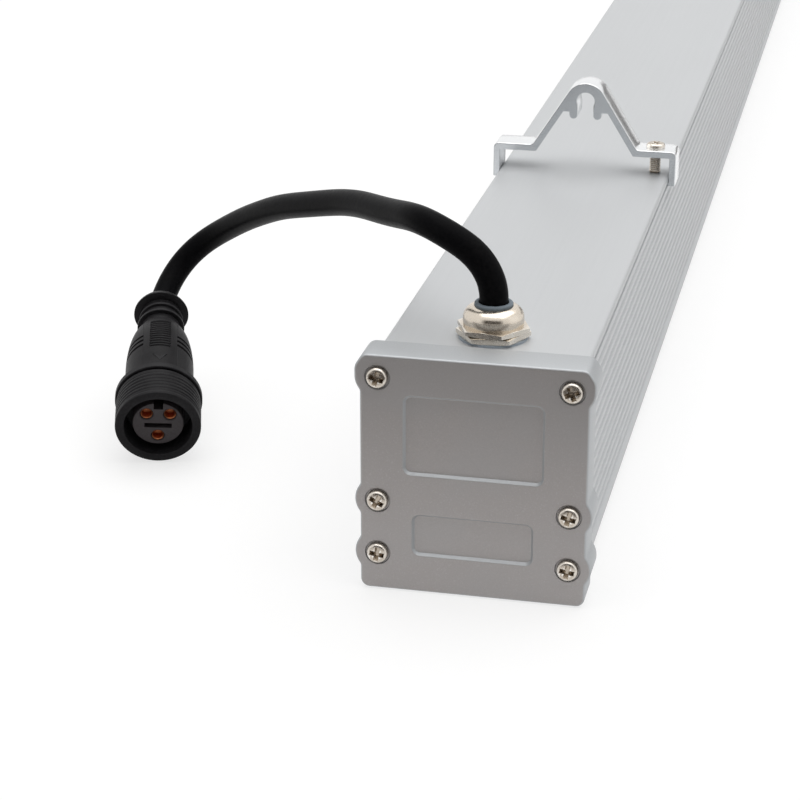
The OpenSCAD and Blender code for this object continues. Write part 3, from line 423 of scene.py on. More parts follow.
def extrudedBarTree():
    # Fills the loops of an outline and draws them out along the bar
    tree, given = newTree("extrudedBar", [("Length", "Float", 1.0)])
    line = addNode(tree, "GeometryNodeMeshToCurve", [(0, given["Geometry"])])
    fill = addNode(tree, "GeometryNodeFillCurve", [(0, line)], mode="NGONS")
    draw = addNode(tree, "GeometryNodeExtrudeMesh", [("Mesh", fill), ("Offset Scale", given["Length"])],
        [("Individual", False), ("Offset", (0, 0, 1))], mode="FACES")
    flip = addNode(tree, "GeometryNodeFlipFaces", [(0, fill)])
    both = addNode(tree, "GeometryNodeJoinGeometry", [(0, draw), (0, flip)])
    weld = addNode(tree, "GeometryNodeMergeByDistance", [(0, both)], [("Distance", 1e-6)])
    half = addNode(tree, "ShaderNodeMath", [(0, given["Length"])], [(1, 0.5)], operation="MULTIPLY")
    shift = addNode(tree, "ShaderNodeCombineXYZ", [("Y", half)])
    stand = addNode(tree, "GeometryNodeTransform", [("Geometry", weld), ("Translation", shift)],
        [("Rotation", (math.pi / 2, 0, 0))])
    return endTree(tree, given, stand)


def piecesOnPlacesTree():
    # One piece at each point of the mesh, turned to face one way and spun at random
    tree, given = newTree("piecesOnPlaces", [("Piece", "Object", None), ("Facing", "Vector", (0, 0, 0)),
        ("Spin", "Float", 0.0), ("Spin Seed", "Int", 1)])
    spots = addNode(tree, "GeometryNodeMeshToPoints", [("Mesh", given["Geometry"])])
    what = addNode(tree, "GeometryNodeObjectInfo", [("Object", given["Piece"])]).outputs["Geometry"]
    chance = addNode(tree, "FunctionNodeRandomValue", [(3, given["Spin"]), ("Seed", given["Spin Seed"])])
    about = addNode(tree, "ShaderNodeCombineXYZ", [("Z", chance.outputs[1])])
    facing = addNode(tree, "FunctionNodeEulerToRotation", [(0, given["Facing"])])
    spin = addNode(tree, "FunctionNodeEulerToRotation", [(0, about)])
    whole = addNode(tree, "FunctionNodeRotateRotation", [("Rotation", facing), ("Rotate By", spin)],
        rotation_space="LOCAL")
    put = addNode(tree, "GeometryNodeInstanceOnPoints", [("Points", spots), ("Instance", what), ("Rotation", whole)])
    return endTree(tree, given, put)


def rowOfPiecesTree():
    # A number of pieces at one pitch along the bar, centred on its middle
    tree, given = newTree("rowOfPieces", [("Piece", "Object", None), ("Count", "Int", 36),
        ("Pitch", "Float", 0.026), ("Height", "Float", 0.0)])
    less = addNode(tree, "ShaderNodeMath", [(0, given["Count"])], [(1, 1)], operation="SUBTRACT")
    span = addNode(tree, "ShaderNodeMath", [(0, less), (1, given["Pitch"])], operation="MULTIPLY")
    half = addNode(tree, "ShaderNodeMath", [(0, span)], [(1, -0.5)], operation="MULTIPLY")
    start = addNode(tree, "ShaderNodeCombineXYZ", [("Y", half), ("Z", given["Height"])])
    pace = addNode(tree, "ShaderNodeCombineXYZ", [("Y", given["Pitch"])])
    row = addNode(tree, "GeometryNodeMeshLine", [("Count", given["Count"]), ("Start Location", start),
        ("Offset", pace)])
    what = addNode(tree, "GeometryNodeObjectInfo", [("Object", given["Piece"])]).outputs["Geometry"]
    return endTree(tree, given, addNode(tree, "GeometryNodeInstanceOnPoints", [("Points", row), ("Instance", what)]))


barTree = extrudedBarTree()
placesTree = piecesOnPlacesTree()
rowTree = rowOfPiecesTree()


def grown(tree, start, inputs, angle=32):
    # Runs a tree on a start mesh and returns what it makes as a plain mesh
    base = addObject("base", start)
    change = base.modifiers.new(tree.name, "NODES")
    change.node_group = tree
    for item in tree.interface.items_tree:
        if item.in_out == "INPUT" and item.name in inputs:
            change[item.identifier] = inputs[item.name]
    made = evaluatedMesh(base, angle)
    bpy.data.objects.remove(base)
    return made


def pointsMesh(points):
    mesh = bpy.data.meshes.new("places")
    mesh.from_pydata([[c * mm for c in p] for p in points], [], [])
    return mesh


# Sizes of the bar that several pieces share, in mm
bar = {"length": 1000, "width": 57.5, "bottom": 2.6, "top": 65.6, "houseLength": 973}

# Cable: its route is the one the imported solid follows, here made smooth
plug = {"face": (-111.5, -431.5, 12.9346), "pitch": 15.2, "yaw": 16.5, "roll": 3.5, "length": 64.5}
cable = {"diameter": 8, "sides": 32, "stepsPerSpan": 10, "evenings": 60, "glandTop": 10.2, "glandY": 472,
    "straightRun": 4}

plugTurn = Matrix.Identity(4)
for turn, axis in (("yaw", "Z"), ("pitch", "X"), ("roll", "Y")):
    plugTurn = plugTurn @ Matrix.Rotation(math.radians(plug[turn]), 4, axis)
plugPlace = Matrix.Translation(plug["face"]) @ plugTurn
plugAxis = plugTurn @ Vector((0, 1, 0))
plugTail = plugPlace @ Vector((0, plug["length"], 0))
cableExit = Vector((0, -cable["glandY"], bar["top"] + cable["glandTop"]))
routePoints = [cableExit, cableExit + Vector((0, 0, cable["straightRun"]))]
routePoints += [Vector(p) for p in ((-2, -472, 85), (-6, -472, 90), (-12, -471, 93), (-18, -468, 95),
    (-24, -462, 95), (-29, -454, 93), (-35, -446, 91), (-42, -436, 89), (-49, -426, 87), (-57, -416, 84),
    (-66, -406, 80), (-75, -396, 76), (-84, -386, 72), (-92, -377, 67), (-100, -368, 62), (-107, -361, 57),
    (-114, -355, 52), (-121, -353, 47), (-127, -355, 41), (-130, -361, 35))]
routePoints += [plugTail + plugAxis * cable["straightRun"], plugTail]


def smoothRoute(points, steps, evenings):
    padded = [points[0] * 2 - points[1]] + points + [points[-1] * 2 - points[-2]]
    made = []
    for a, b, c, d in zip(padded, padded[1:], padded[2:], padded[3:]):
        for k in range(steps):
            t = k / steps
            made.append(0.5 * (2 * b + (c - a) * t + (2 * a - 5 * b + 4 * c - d) * t * t
                + (3 * b - a - 3 * c + d) * t ** 3))
    made.append(points[-1])
    for _ in range(evenings):
        for i in range(2, len(made) - 2):
            made[i] = made[i] * 0.5 + (made[i - 1] + made[i + 1]) * 0.25
    return made


def tubeRings(route, radius, sides):
    side = Vector((1, 0, 0))
    rings = []
    for i, here in enumerate(route):
        ahead = (route[min(i + 1, len(route) - 1)] - route[max(i - 1, 0)]).normalized()
        side = (side - ahead * side.dot(ahead)).normalized()
        other = ahead.cross(side)
        rings.append([here + radius * (math.cos(a) * side + math.sin(a) * other)
            for a in (2 * math.pi * k / sides for k in range(sides))])
    return [[route[0]]] + rings + [[route[-1]]]


cableRoute = smoothRoute(routePoints, cable["stepsPerSpan"], cable["evenings"])
cableShape = ringShape(tubeRings(cableRoute, cable["diameter"] / 2, cable["sides"]))
powerCable = handOver("powerCable", meshOf("powerCable", cableShape, angle=60), "cableRubber", "lamp",
    ["power_cable"])


# Housing: one outline drawn out along the bar
housing = {"corner": 1.2, "wall": 3.2, "groovePitch": 3.8, "grooves": 15, "grooveRadius": 1, "grooveLift": 0.1,
    "grooveSoft": 0.28, "grooveSteps": 8, "hookHeight": 1.4, "hookDepth": 0.9, "hookZ": 63, "hookLead": 1.2,
    "hookSoft": 0.18, "window": 22.5, "channel": 25.5, "channelZ": (3.8, 8.8), "ledgeZ": 10,
    "ports": ((26.2, 61.9), (26.2, 26.3), (26.2, 10.7)), "portRadius": 3, "portHole": 1.35, "ledgeRun": 0.7,
    "shelfRun": 1.5, "backRun": 1.1, "glandHole": (7.7, 60, 70), "screwHole": 1.35, "shelfCut": (22, 30),
    "leadHole": (0, -140, 4)}
# Places that the housing's holes and the screws share
chambers = {"leds": 36, "ledPitch": 26, "ledScrewX": 17, "ledScrewZ": 23.2, "standoffX": 16, "standoffZ": 35.4,
    "driverY": -290, "standoffReach": 125}


def sideProfile():
    # The right side from the window up to the middle of the back
    h = housing
    half, low, top, corner, soft = bar["width"] / 2, bar["bottom"], bar["top"], h["corner"], h["grooveSoft"]
    line = [(h["window"], low), (half - corner, low)]
    line += arcPoints(half - corner, low + corner, corner, -90, 0, 5)[1:]
    reach = math.degrees(math.acos(h["grooveLift"] / h["grooveRadius"]))
    for i in range(h["grooves"] - 1, 0, -1):
        arc = arcPoints(half + h["grooveLift"], h["hookZ"] - i * h["groovePitch"], h["grooveRadius"],
            180 + reach, 180 - reach, h["grooveSteps"])
        line += softened([(half, arc[0][1] - 2 * soft), arc[0], arc[1]], soft)[1:-1] + arc[2:-2]
        line += softened([arc[-2], arc[-1], (half, arc[-1][1] + 2 * soft)], soft)[1:-1]
    under, over, deep = h["hookZ"] - h["hookHeight"] / 2, h["hookZ"] + h["hookHeight"] / 2, half - h["hookDepth"]
    line += softened([(half, h["hookZ"] - h["hookLead"]), (half, under), (deep, under), (deep, over), (half, over),
        (half, top - corner)], h["hookSoft"])[1:-1]
    return line + arcPoints(half - corner, top - corner, corner, 0, 90, 5)


def housingLoops():
    h = housing
    x, r = h["ports"][0][0], h["portRadius"]
    high, middle, low = (z for _, z in h["ports"])
    window, channel, (under, over) = h["window"], h["channel"], h["channelZ"]

    def meets(rise):
        # The angle at which a port's circle meets a face this far from its middle
        return math.degrees(math.atan2(rise, -math.sqrt(r * r - rise * rise)))
    wallRun = bar["width"] / 2 - h["wall"] - x
    wall = math.degrees(math.atan2(math.sqrt(r * r - wallRun ** 2), wallRun))
    # The light chamber and the glass channel open through the window
    lower = [(window, bar["bottom"]), (window, under), (channel, under), (channel, over), (window, over),
        (window, h["ledgeZ"])]
    lower += arcPoints(x, low, r, 360 + meets(-h["ledgeRun"]), wall, 8)
    lower += arcPoints(x, middle, r, 360 - wall, 360 + meets(-h["shelfRun"]), 6)
    right = sideProfile()
    outer = right + [(-x, z) for x, z in reversed(right)]
    outer += [(-x, z) for x, z in lower[1:]] + [(x, z) for x, z in reversed(lower[1:])]
    driver = arcPoints(x, middle, r, meets(h["shelfRun"]), wall, 6)
    driver += arcPoints(x, high, r, 360 - wall, meets(h["backRun"]), 8)
    driver += [(-x, z) for x, z in reversed(driver)]
    return [outer, driver] + [circleLoop(s * x, z, h["portHole"], 20) for s in (-1, 1) for x, z in h["ports"]]


def loopsMesh(loops):
    mesh = bpy.data.meshes.new("outline")
    points, edges = [], []
    for loop in loops:
        start = len(points)
        points += [(x * mm, z * mm, 0) for x, z in loop]
        edges += [(start + i, start + (i + 1) % len(loop)) for i in range(len(loop))]
    mesh.from_pydata(points, edges, [])
    return mesh


def postsShape(posts):
    # Round posts along Z, each a place, a radius and two heights
    shape = bmesh.new()
    for x, y, radius, low, high in posts:
        ring = [(x + px, y + py) for px, py in circleLoop(0, 0, radius, 28)]
        addRings(shape, [[(x, y, low)], [(a, b, low) for a, b in ring], [(a, b, high) for a, b in ring],
            [(x, y, high)]])
    return shape


ledScrews = [(chambers["ledScrewX"] * (-1) ** k,
    s * chambers["ledPitch"] * math.floor(chambers["leds"] / 2 * (k + 0.5) / 4)) for s in (-1, 1) for k in range(4)]
standoffs = [(sx * chambers["standoffX"], chambers["driverY"] + sy * chambers["standoffReach"])
    for sx in (-1, 1) for sy in (-1, 1)]
holes = [(0, s * cable["glandY"], *housing["glandHole"]) for s in (-1, 1)]
holes += [(x, y, housing["screwHole"], *housing["shelfCut"]) for x, y in ledScrews + standoffs]
holes.append((*housing["leadHole"], *housing["shelfCut"]))
barMesh = grown(barTree, loopsMesh(housingLoops()), {"Length": bar["houseLength"] * mm,
    "Finish": finish["housingSilver"]}, 24)
barMesh = cutBy("housing", barMesh, postsShape(holes), 24)
handOver("housingBar", barMesh, "housingSilver", "lamp", ["housing"])
print("housing made")


# End caps
cap = {"width": 62, "height": 68.2, "thick": 12, "corner": 2.4, "earX": 26.2, "earZ": (10.7, 26.3, 61.9),
    "ear": 6.3, "fillet": 2, "edge": 0.7, "bore": 3.45, "boreDepth": 0.7, "hole": 1.45, "topSoft": 1.5,
    "panels": ((45.9, 37.8, 22.4), (16.9, 32.8, 11.6)), "panelCorner": 1.9,
    "panelWall": ((0.46, 0), (0.4, 0), (0.3, 0.05), (0.2, 0.2), (0, 0.48), (-0.2, 0.74), (-0.34, 0.94),
        (-0.48, 1), (-0.54, 1)),
    "boreWall": ((0.3, 0), (0.24, 0), (0.1, 0.04), (0, 0.2), (0, 0.62), (-0.08, 0.7), (-0.14, 0.7)),
    "hollow": (38, 50, 34.1, 1.9), "floor": 5, "browRise": 2.835, "browX": 30.2, "crownX": 20}


def capOutline():
    side, ear, fillet = cap["width"] / 2, cap["ear"], cap["fillet"]
    dx = side + fillet - cap["earX"]
    dz = math.sqrt((ear + fillet) ** 2 - dx * dx)
    lean = math.degrees(math.atan2(dz, dx))
    line = arcPoints(side - cap["corner"], cap["corner"], cap["corner"], -90, 0, 8)
    for z in cap["earZ"]:
        line += arcPoints(side + fillet, z - dz, fillet, 180, 180 - lean, 6)
        if z == cap["earZ"][-1]:
            line += arcPoints(cap["earX"], z, ear, -lean, 0, 9)[1:]
            line += softened([(cap["earX"] + ear, z), (cap["earX"] + ear, z + cap["browRise"]),
                (cap["browX"], cap["height"]), (cap["crownX"], cap["height"])], cap["topSoft"], 5)[1:-1]
        else:
            line += arcPoints(cap["earX"], z, ear, -lean, lean, 18)[1:]
            line += arcPoints(side + fillet, z + dz, fillet, 180 + lean, 180, 6)[1:]
    return line + [(-x, z) for x, z in reversed(line)]


def capShape():
    shape = bmesh.new()
    body = addRings(shape, slabRings(capOutline(), 0, cap["thick"], cap["edge"]))
    front, back = [body[0]], [body[-1]]
    for z, width, height in cap["panels"]:
        rings = [[(x, y, q) for x, q in rectLoop(0, z, width + 2 * g, height + 2 * g, cap["panelCorner"] + g)]
            for g, y in cap["panelWall"]]
        rows = addRings(shape, rings)
        front.append(rows[0])
        fillBetween(shape, [rows[-1]])
    for s in (-1, 1):
        for z in cap["earZ"]:
            wall = [(cap["bore"] + g, y) for g, y in cap["boreWall"]]
            wall += [(cap["hole"] + 0.06, cap["boreDepth"]), (cap["hole"], cap["boreDepth"] + 0.06),
                (cap["hole"], cap["thick"])]
            rows = addRings(shape, [[(x, y, q) for x, q in circleLoop(s * cap["earX"], z, r, 40)]
                for r, y in wall])
            front.append(rows[0])
            back.append(rows[-1])
    width, height, middle, corner = cap["hollow"]
    hollow = addRings(shape, [[(x, y, q) for x, q in rectLoop(0, middle, width - 2 * g, height - 2 * g, corner)]
        for g, y in ((0, cap["thick"]), (0, cap["floor"] + 0.3), (0.3, cap["floor"]))])
    back.append(hollow[0])
    fillBetween(shape, [hollow[-1]])
    fillBetween(shape, front)
    fillBetween(shape, back)
    return shape


endPlace = {"Near": Matrix.Translation((0, -bar["length"] / 2, 0))}
endPlace["Far"] = Matrix.Rotation(math.pi, 4, "Z") @ endPlace["Near"]
for end, place in endPlace.items():
    handOver("endCap" + end, meshOf("endCap" + end, capShape(), place, 28), "capLacquer", "lamp",
        ["end_cap_" + end.lower()])
print("end caps made")


# Screws: a pan head with a cross recess, put on its places by Geometry Nodes
smallScrew = {"thread": 2.6, "head": 5.9, "headHeight": 2.1, "length": 20, "recess": 0.76, "arm": 0.25, "depth": 0.8}
boardScrew = {**smallScrew, "length": 4.6}
driverScrew = {**smallScrew, "length": 3.6}
clampScrew = {"thread": 3.9, "head": 6.3, "headHeight": 1.7, "length": 8.6, "recess": 0.6, "arm": 0.18,
    "depth": 0.66, "pitch": 0.7, "x": 23.6, "y": 298, "seat": 74.2}
headProfile = ((0, 1), (0.35, 0.995), (0.62, 0.975), (0.78, 0.93), (0.88, 0.85), (0.95, 0.72), (0.985, 0.56),
    (1, 0.38), (1, 0.1), (0.97, 0.02), (0.93, 0))
recess = {"rise": 1.3, "spread": 1.08, "narrow": 0.5, "point": 0.12}
thread = {"start": 0.3, "depth": 0.3, "steps": 8, "clear": 0.6}


def crossCutter(size):
    # A cross that narrows towards its point
    reach, arm = size["head"] * size["recess"] / 2, size["head"] * size["arm"] / 2
    top, deep = size["headHeight"] * recess["rise"], size["headHeight"] * (1 - size["depth"])
    plus = [(arm, reach), (arm, arm), (reach, arm)]
    cross = [Matrix.Rotation(-math.pi / 2 * k, 2) @ Vector(p) for k in range(4) for p in plus][::-1]
    return ringShape([[(0, 0, top)], [(*(p * recess["spread"]), top) for p in cross],
        [(*(p * recess["narrow"]), deep) for p in cross], [(0, 0, deep - recess["point"])]])


def screwMesh(name, size):
    # The head's seat is at zero, the head above it and the thread below
    radius, length, pitch = size["thread"] / 2, size["length"], size.get("pitch")
    profile = [(r * size["head"] / 2, h * size["headHeight"]) for r, h in headProfile]
    profile += [(radius + 0.1, 0), (radius, -0.12)]
    if pitch:
        steps = int(length / pitch * thread["steps"]) - 6
        profile += [(radius, -thread["start"] - i * pitch / thread["steps"]) for i in range(steps)]
    profile += [(radius, -length + 0.5), (radius - 0.4, -length), (0, -length)]

    def threaded(r, z, angle):
        if not pitch or r != radius or z > -thread["start"] or z < -length + thread["clear"]:
            return r, z
        turn = (z / pitch + angle / (2 * math.pi)) % 1
        return r - thread["depth"] * abs(2 * turn - 1), z
    shape = ringShape(spunRings(profile, 32, threaded))
    return cutBy(name, meshOf(name, shape, angle=40), crossCutter(size), 35)


def screwsOn(name, size, places, facing, seed, body, replaced):
    pattern = addObject("pattern", screwMesh(name, size))
    made = grown(placesTree, pointsMesh(places), {"Piece": pattern, "Facing": facing, "Spin": math.pi / 2,
        "Spin Seed": seed, "Finish": finish["screwNickel"]}, 35)
    bpy.data.objects.remove(pattern)
    handOver(name, made, "screwNickel", body, replaced)


for end, s in (("Near", -1), ("Far", 1)):
    y = s * (bar["length"] / 2 - cap["boreDepth"])
    seats = [(x, y, z) for x in (-cap["earX"], cap["earX"]) for z in cap["earZ"]]
    screwsOn("capScrews" + end, smallScrew, seats, (-s * math.pi / 2, 0, 0), 4 + s, "lamp",
        ["cap_screws_" + end.lower()])
screwsOn("ledBoardScrews", boardScrew, [(*place, chambers["ledScrewZ"]) for place in ledScrews], (math.pi, 0, 0), 9,
    "lamp", ["led_board_screws"])
screwsOn("driverScrews", driverScrew, [(*place, chambers["standoffZ"]) for place in standoffs], (0, 0, 0), 12,
    "lamp", ["driver_screws"])
for end, s in (("near", -1), ("far", 1)):
    seat = [(-s * clampScrew["x"], s * clampScrew["y"], clampScrew["seat"])]
    screwsOn("clampScrew" + end.title(), clampScrew, seat, (0, 0, 0), 20 + s, end + "_clamp_screw",
        ["clamp_screw_" + end])
print("screws made")


# Glands, drawn with the housing's back at zero
gland = {"flats": 18, "washer": 0.6, "bodyTop": 2.3, "nutTop": 3.9, "domeRadius": 8.4, "domeTop": 9.2,
    "shoulder": 3.4, "domeHole": 5.25, "bore": 4.1, "stem": 7.6, "stemFoot": -8, "stub": 6.6, "stubTop": 5.7,
    "nutBore": 6.7, "nutBoreTop": 7.5, "nutGap": 0.02, "chamfer": 0.2, "nutTurn": -7.5, "bodyTurn": 5, "sides": 144}


def glandRings(profile):
    return spunRings(profile, gland["sides"])


def hexBand(bottom, top, turn):
    # Rings of a hexagon whose corners are turned off at the top and the bottom
    half = gland["flats"] / 2
    rim = half - 0.05

    def flank(height, way):
        points = []
        for i in range(gland["sides"]):
            angle = 2 * math.pi * i / gland["sides"]
            folded = (angle - math.radians(turn)) % (math.pi / 3) - math.pi / 6
            r = half / math.cos(folded)
            drop = (r - rim) * gland["chamfer"] + 0.03
            points.append((r * math.cos(angle), r * math.sin(angle), height - way * drop))
        return points
    return glandRings([(rim - 0.3, bottom), (rim, bottom)]) + [flank(bottom, -1), flank(top, 1)] \
        + glandRings([(rim, top), (rim - 0.08, top)])


def glandNut():
    g = gland
    foot, top, bend, hole = g["bodyTop"] + g["nutGap"], g["nutTop"], g["shoulder"], g["domeHole"]
    flat, low = g["domeRadius"] - bend, g["domeTop"] - bend
    reach = math.degrees(math.acos((hole + 0.15 - flat) / bend))
    skirt = [(8.3, top + 0.04), (8.3, top + 0.14), (8.34, top + 0.5), (8.4, 4.9), (8.38, 5.5)]
    dome = arcPoints(flat, low, bend, 4, reach, 16)
    dome += [(hole, g["domeTop"] - 0.12), (hole, g["nutBoreTop"]), (g["nutBore"], g["nutBoreTop"])]
    return ringShape(glandRings([(g["nutBore"], foot)]) + hexBand(foot, top, g["nutTurn"])
        + glandRings(skirt + dome), closed=True)


def glandBody():
    g = gland
    stem = [(g["bore"], g["stemFoot"]), (g["stem"] - 0.5, g["stemFoot"]), (g["stem"], g["stemFoot"] + 0.4),
        (g["stem"], g["washer"])]
    stub = [(g["stub"], g["bodyTop"]), (g["stub"], g["stubTop"]), (g["bore"], g["stubTop"])]
    return ringShape(glandRings(stem) + hexBand(g["washer"], g["bodyTop"], g["bodyTurn"]) + glandRings(stub),
        closed=True)


def glandRubber():
    profile = [(gland["bore"], 5.72), (6.55, 5.72), (6.6, 7.4), (5.15, 7.45), (5.15, 9.0), (5.2, 9.2)]
    profile += arcPoints(4.8, 9.65, 0.54, -52, 90, 10) + [(4.3, 10.19), (4.16, 10.12), (gland["bore"], 9.96)]
    return spun(profile, 72, closed=True)


glandParts = (("glandNut", glandNut, "glandNickel", "gland_nickel", "gland_nut_", 30),
    ("glandBody", glandBody, "glandNickel", "gland_nickel", "gland_body_", 30),
    ("glandRubber", glandRubber, "glandRubber", "grey_rubber", "gland_rubber_", 40))
for end, s in (("Near", -1), ("Far", 1)):
    place = Matrix.Translation((0, s * cable["glandY"], bar["top"]))
    for name, build, look, slotName, node, angle in glandParts:
        handOver(name + end, meshOf(name + end, build(), place, angle), look, "lamp", [node + end.lower()])
print("glands made")


# Connector, drawn with its face at the origin and its tail along Y
grip = {"gapRadius": 12.2, "gapStart": 12.3, "flangeStart": 13.1, "flangeRadius": 13.6, "start": 15.5, "radius": 10.6,
    "domeLength": 34.5, "neck": 6.4, "rowStep": 0.14, "average": (-0.05, -0.03, -0.01, 0.01, 0.03, 0.05),
    "shares": ((0, 1), (0.44, 1), (0.56, 0.98), (0.68, 0.94), (0.79, 0.88), (0.89, 0.79), (0.96, 0.7), (1, 0.62)),
    "panelHalf": 3.3, "panelFrom": 28.6, "panelTo": 45.2, "panelSink": 0.2, "ribPitch": 1.4, "ribGap": 0.75,
    "ribDepth": 0.32, "padFrom": 17.2, "padTo": 46.5, "padRise": 0.15, "padEdge": 5.4, "notchFrom": 30.5,
    "notchPitch": 2.5, "notchWidth": 0.95, "notchDepth": 0.75, "notches": 3, "zoneGap": 0.008}


def lookUp(table, at):
    for (a, low), (b, high) in zip(table, table[1:]):
        if at <= b:
            t = (at - a) / (b - a)
            return low + (high - low) * t
    return table[-1][1]


def gripRadius(s):
    # Averaged over a short run, so that the shares' corners don't show
    share = (s - grip["start"]) / grip["domeLength"]
    near = [lookUp(grip["shares"], min(max(share + d, 0), 1)) for d in grip["average"]]
    return grip["radius"] * sum(near) / len(near)


def step(at, edge, width=0.14):
    t = min(max((at - edge) / width + 0.5, 0), 1)
    return t * t * (3 - 2 * t)


def between(at, low, high, width=0.14):
    return step(at, low, width) - step(at, high, width)


def gripBump(s, zone):
    # How far the grip's surface stands out of its plain shape: zone 0 is the
    # top panel, 1 the strip beside it, 2 a side pad and 3 the underside
    g = grip
    if zone == 0:
        rib = between((s - g["panelFrom"]) % g["ribPitch"], 0.12, 0.12 + g["ribGap"], 0.22)
        return -between(s, g["panelFrom"], g["panelTo"]) * (g["panelSink"] + g["ribDepth"] * rib)
    if zone == 2:
        starts = [g["notchFrom"] + i * g["notchPitch"] for i in range(g["notches"])]
        notches = sum(between(s, start, start + g["notchWidth"], 0.3) for start in starts)
        return between(s, g["padFrom"], g["padTo"], 0.4) * g["padRise"] - notches * g["notchDepth"]
    return 0


def gripRings():
    g = grip
    tail = [(50.2, g["neck"]), (52.7, g["neck"]), (52.8, 7.45), (52.95, 7.6), (53.75, 7.6), (53.9, 7.45),
        (54, g["neck"]), (56.9, g["neck"]), (57, 6.95), (57.15, 7.1), (57.95, 7.1), (58.1, 6.95), (58.2, g["neck"]),
        (60.7, g["neck"]), (60.8, 8.7), (60.95, 8.88), (61.4, 8.85), (62.4, 8.45), (63.6, 7.8), (64.3, 7.3),
        (64.5, 6.9), (64.5, 4.3), (64.5, 0)]
    front = [(g["gapStart"] + 0.02, 0), (g["gapStart"] + 0.02, g["gapRadius"]), (g["flangeStart"], g["gapRadius"]),
        (g["flangeStart"], g["flangeRadius"] - 0.25), (g["flangeStart"] + 0.25, g["flangeRadius"]),
        (g["start"] - 0.3, g["flangeRadius"]), (g["start"], g["flangeRadius"] - 0.3),
        (g["start"], g["radius"] + 0.25)]
    count = int((g["domeLength"] - 0.3) / g["rowStep"])
    rows = [(s, gripRadius(s)) for s in [g["start"] + 0.25 + i * g["rowStep"] for i in range(count)]]
    # Columns are bunched at the edges of the panel and the pads
    columns = []
    for zone, share in ((0, 7), (1, 3), (2, 42), (3, 7)):
        columns += [(zone, k / share) for k in range(share + 1)]
    rings = []
    for s, r in front + rows + tail:
        if r == 0:
            rings.append([(0, s, 0)])
            continue
        onGrip = (s, r) in rows
        wide = gripRadius(min(max(s, g["start"]), g["start"] + g["domeLength"]))
        gap, panel, pad = g["zoneGap"], math.asin(g["panelHalf"] / wide), math.asin(g["padEdge"] / wide)
        marks = [0, panel - gap, pad - gap, math.pi - pad - gap, math.pi]
        half = []
        for zone, share in columns:
            low = marks[zone] + (2 * gap if zone else 0)
            angle = low + (marks[zone + 1] - low) * share
            half.append((angle, r + (gripBump(s, zone) if onGrip else 0)))
        whole = half + [(2 * math.pi - a, q) for a, q in reversed(half[1:-1])]
        rings.append([(q * math.sin(a), s, q * math.cos(a)) for a, q in whole])
    return rings


def markRings():
    # A plain arrow that shows which way up the plug goes
    height = gripRadius(22) + 0.2
    corners = [(-2.2, 24.2), (0, 21), (2.2, 24.2), (0, 23.1)]
    inner = [(x * 0.8, 23 + (y - 23) * 0.86) for x, y in corners]
    rings = [[(x, y, height - 1) for x, y in corners], [(x, y, height - 0.12) for x, y in corners],
        [(x, y, height - 0.05 * x * x) for x, y in inner], [(0, 22.6, height)]]
    return [[(0, 22.6, height - 1)]] + rings


gripBody = ringShape(gripRings())
addRings(gripBody, markRings())
connectorGrip = handOver("connectorGrip", meshOf("connectorGrip", gripBody, plugPlace, 38), "connectorNylon", "lamp",
    ["connector_grip"])

collar = {"root": 13.06, "crest": 13.24, "length": 12.3, "bore": 10.5, "boreDepth": 11, "inner": 7.97, "pitch": 1.6,
    "threadFrom": 1.9, "threadTo": 11.7, "sides": 160, "crestShare": 0.58}


def collarThread(r, z, angle):
    # Radius of the screw thread at a height and an angle, faded in and out
    if r != collar["root"] or not collar["threadFrom"] < z < collar["threadTo"]:
        return r, z
    turn = (z / collar["pitch"] - angle / (2 * math.pi)) % 1
    crest = between(turn, 0.2, 0.2 + collar["crestShare"], 0.2)
    fade = between(z, collar["threadFrom"] + 0.5, collar["threadTo"] - 0.6, 0.8)
    return r + (collar["crest"] - r) * crest * fade, z


def collarShape():
    c = collar
    bore, crest, root = c["bore"], c["crest"], c["root"]
    profile = [(bore, 0.35), (bore + 0.1, 0.1), (bore + 0.35, 0), (crest - 0.35, 0), (crest - 0.1, 0.1),
        (crest, 0.35), (crest, 1.05), (crest - 0.12, 1.2), (root, 1.45)]
    profile += [(root, 1.6 + i * 0.15) for i in range(69)]
    profile += [(root, c["length"]), (c["inner"], c["length"]), (c["inner"], c["boreDepth"]), (bore, c["boreDepth"])]
    return ringShape(spunRings(profile, c["sides"], collarThread), closed=True)


lieDown = Matrix.Rotation(-math.pi / 2, 4, "X")
connectorCollar = handOver("connectorCollar", meshOf("connectorCollar", collarShape(), plugPlace @ lieDown, 38),
    "connectorNylon", "lamp", ["connector_collar"])

socket = {"radius": 7.85, "face": 1.8, "back": 12.28, "places": ((-3.6, 3.5), (3.6, 3.5), (0, -4.6)), "contact": 1.9,
    "bore": 1.56, "contactFace": 2.2, "wellBottom": 11.5, "keyEnd": 11, "key": (2.9, 2.4), "slot": (8.4, 1.7, 3, 0.7)}


def boxShape(shape, low, high):
    flat = ((low[0], low[1]), (high[0], low[1]), (high[0], high[1]), (low[0], high[1]))
    for row in addRings(shape, [[(x, y, z) for x, y in flat] for z in (low[2], high[2])]):
        shape.faces.new(row)


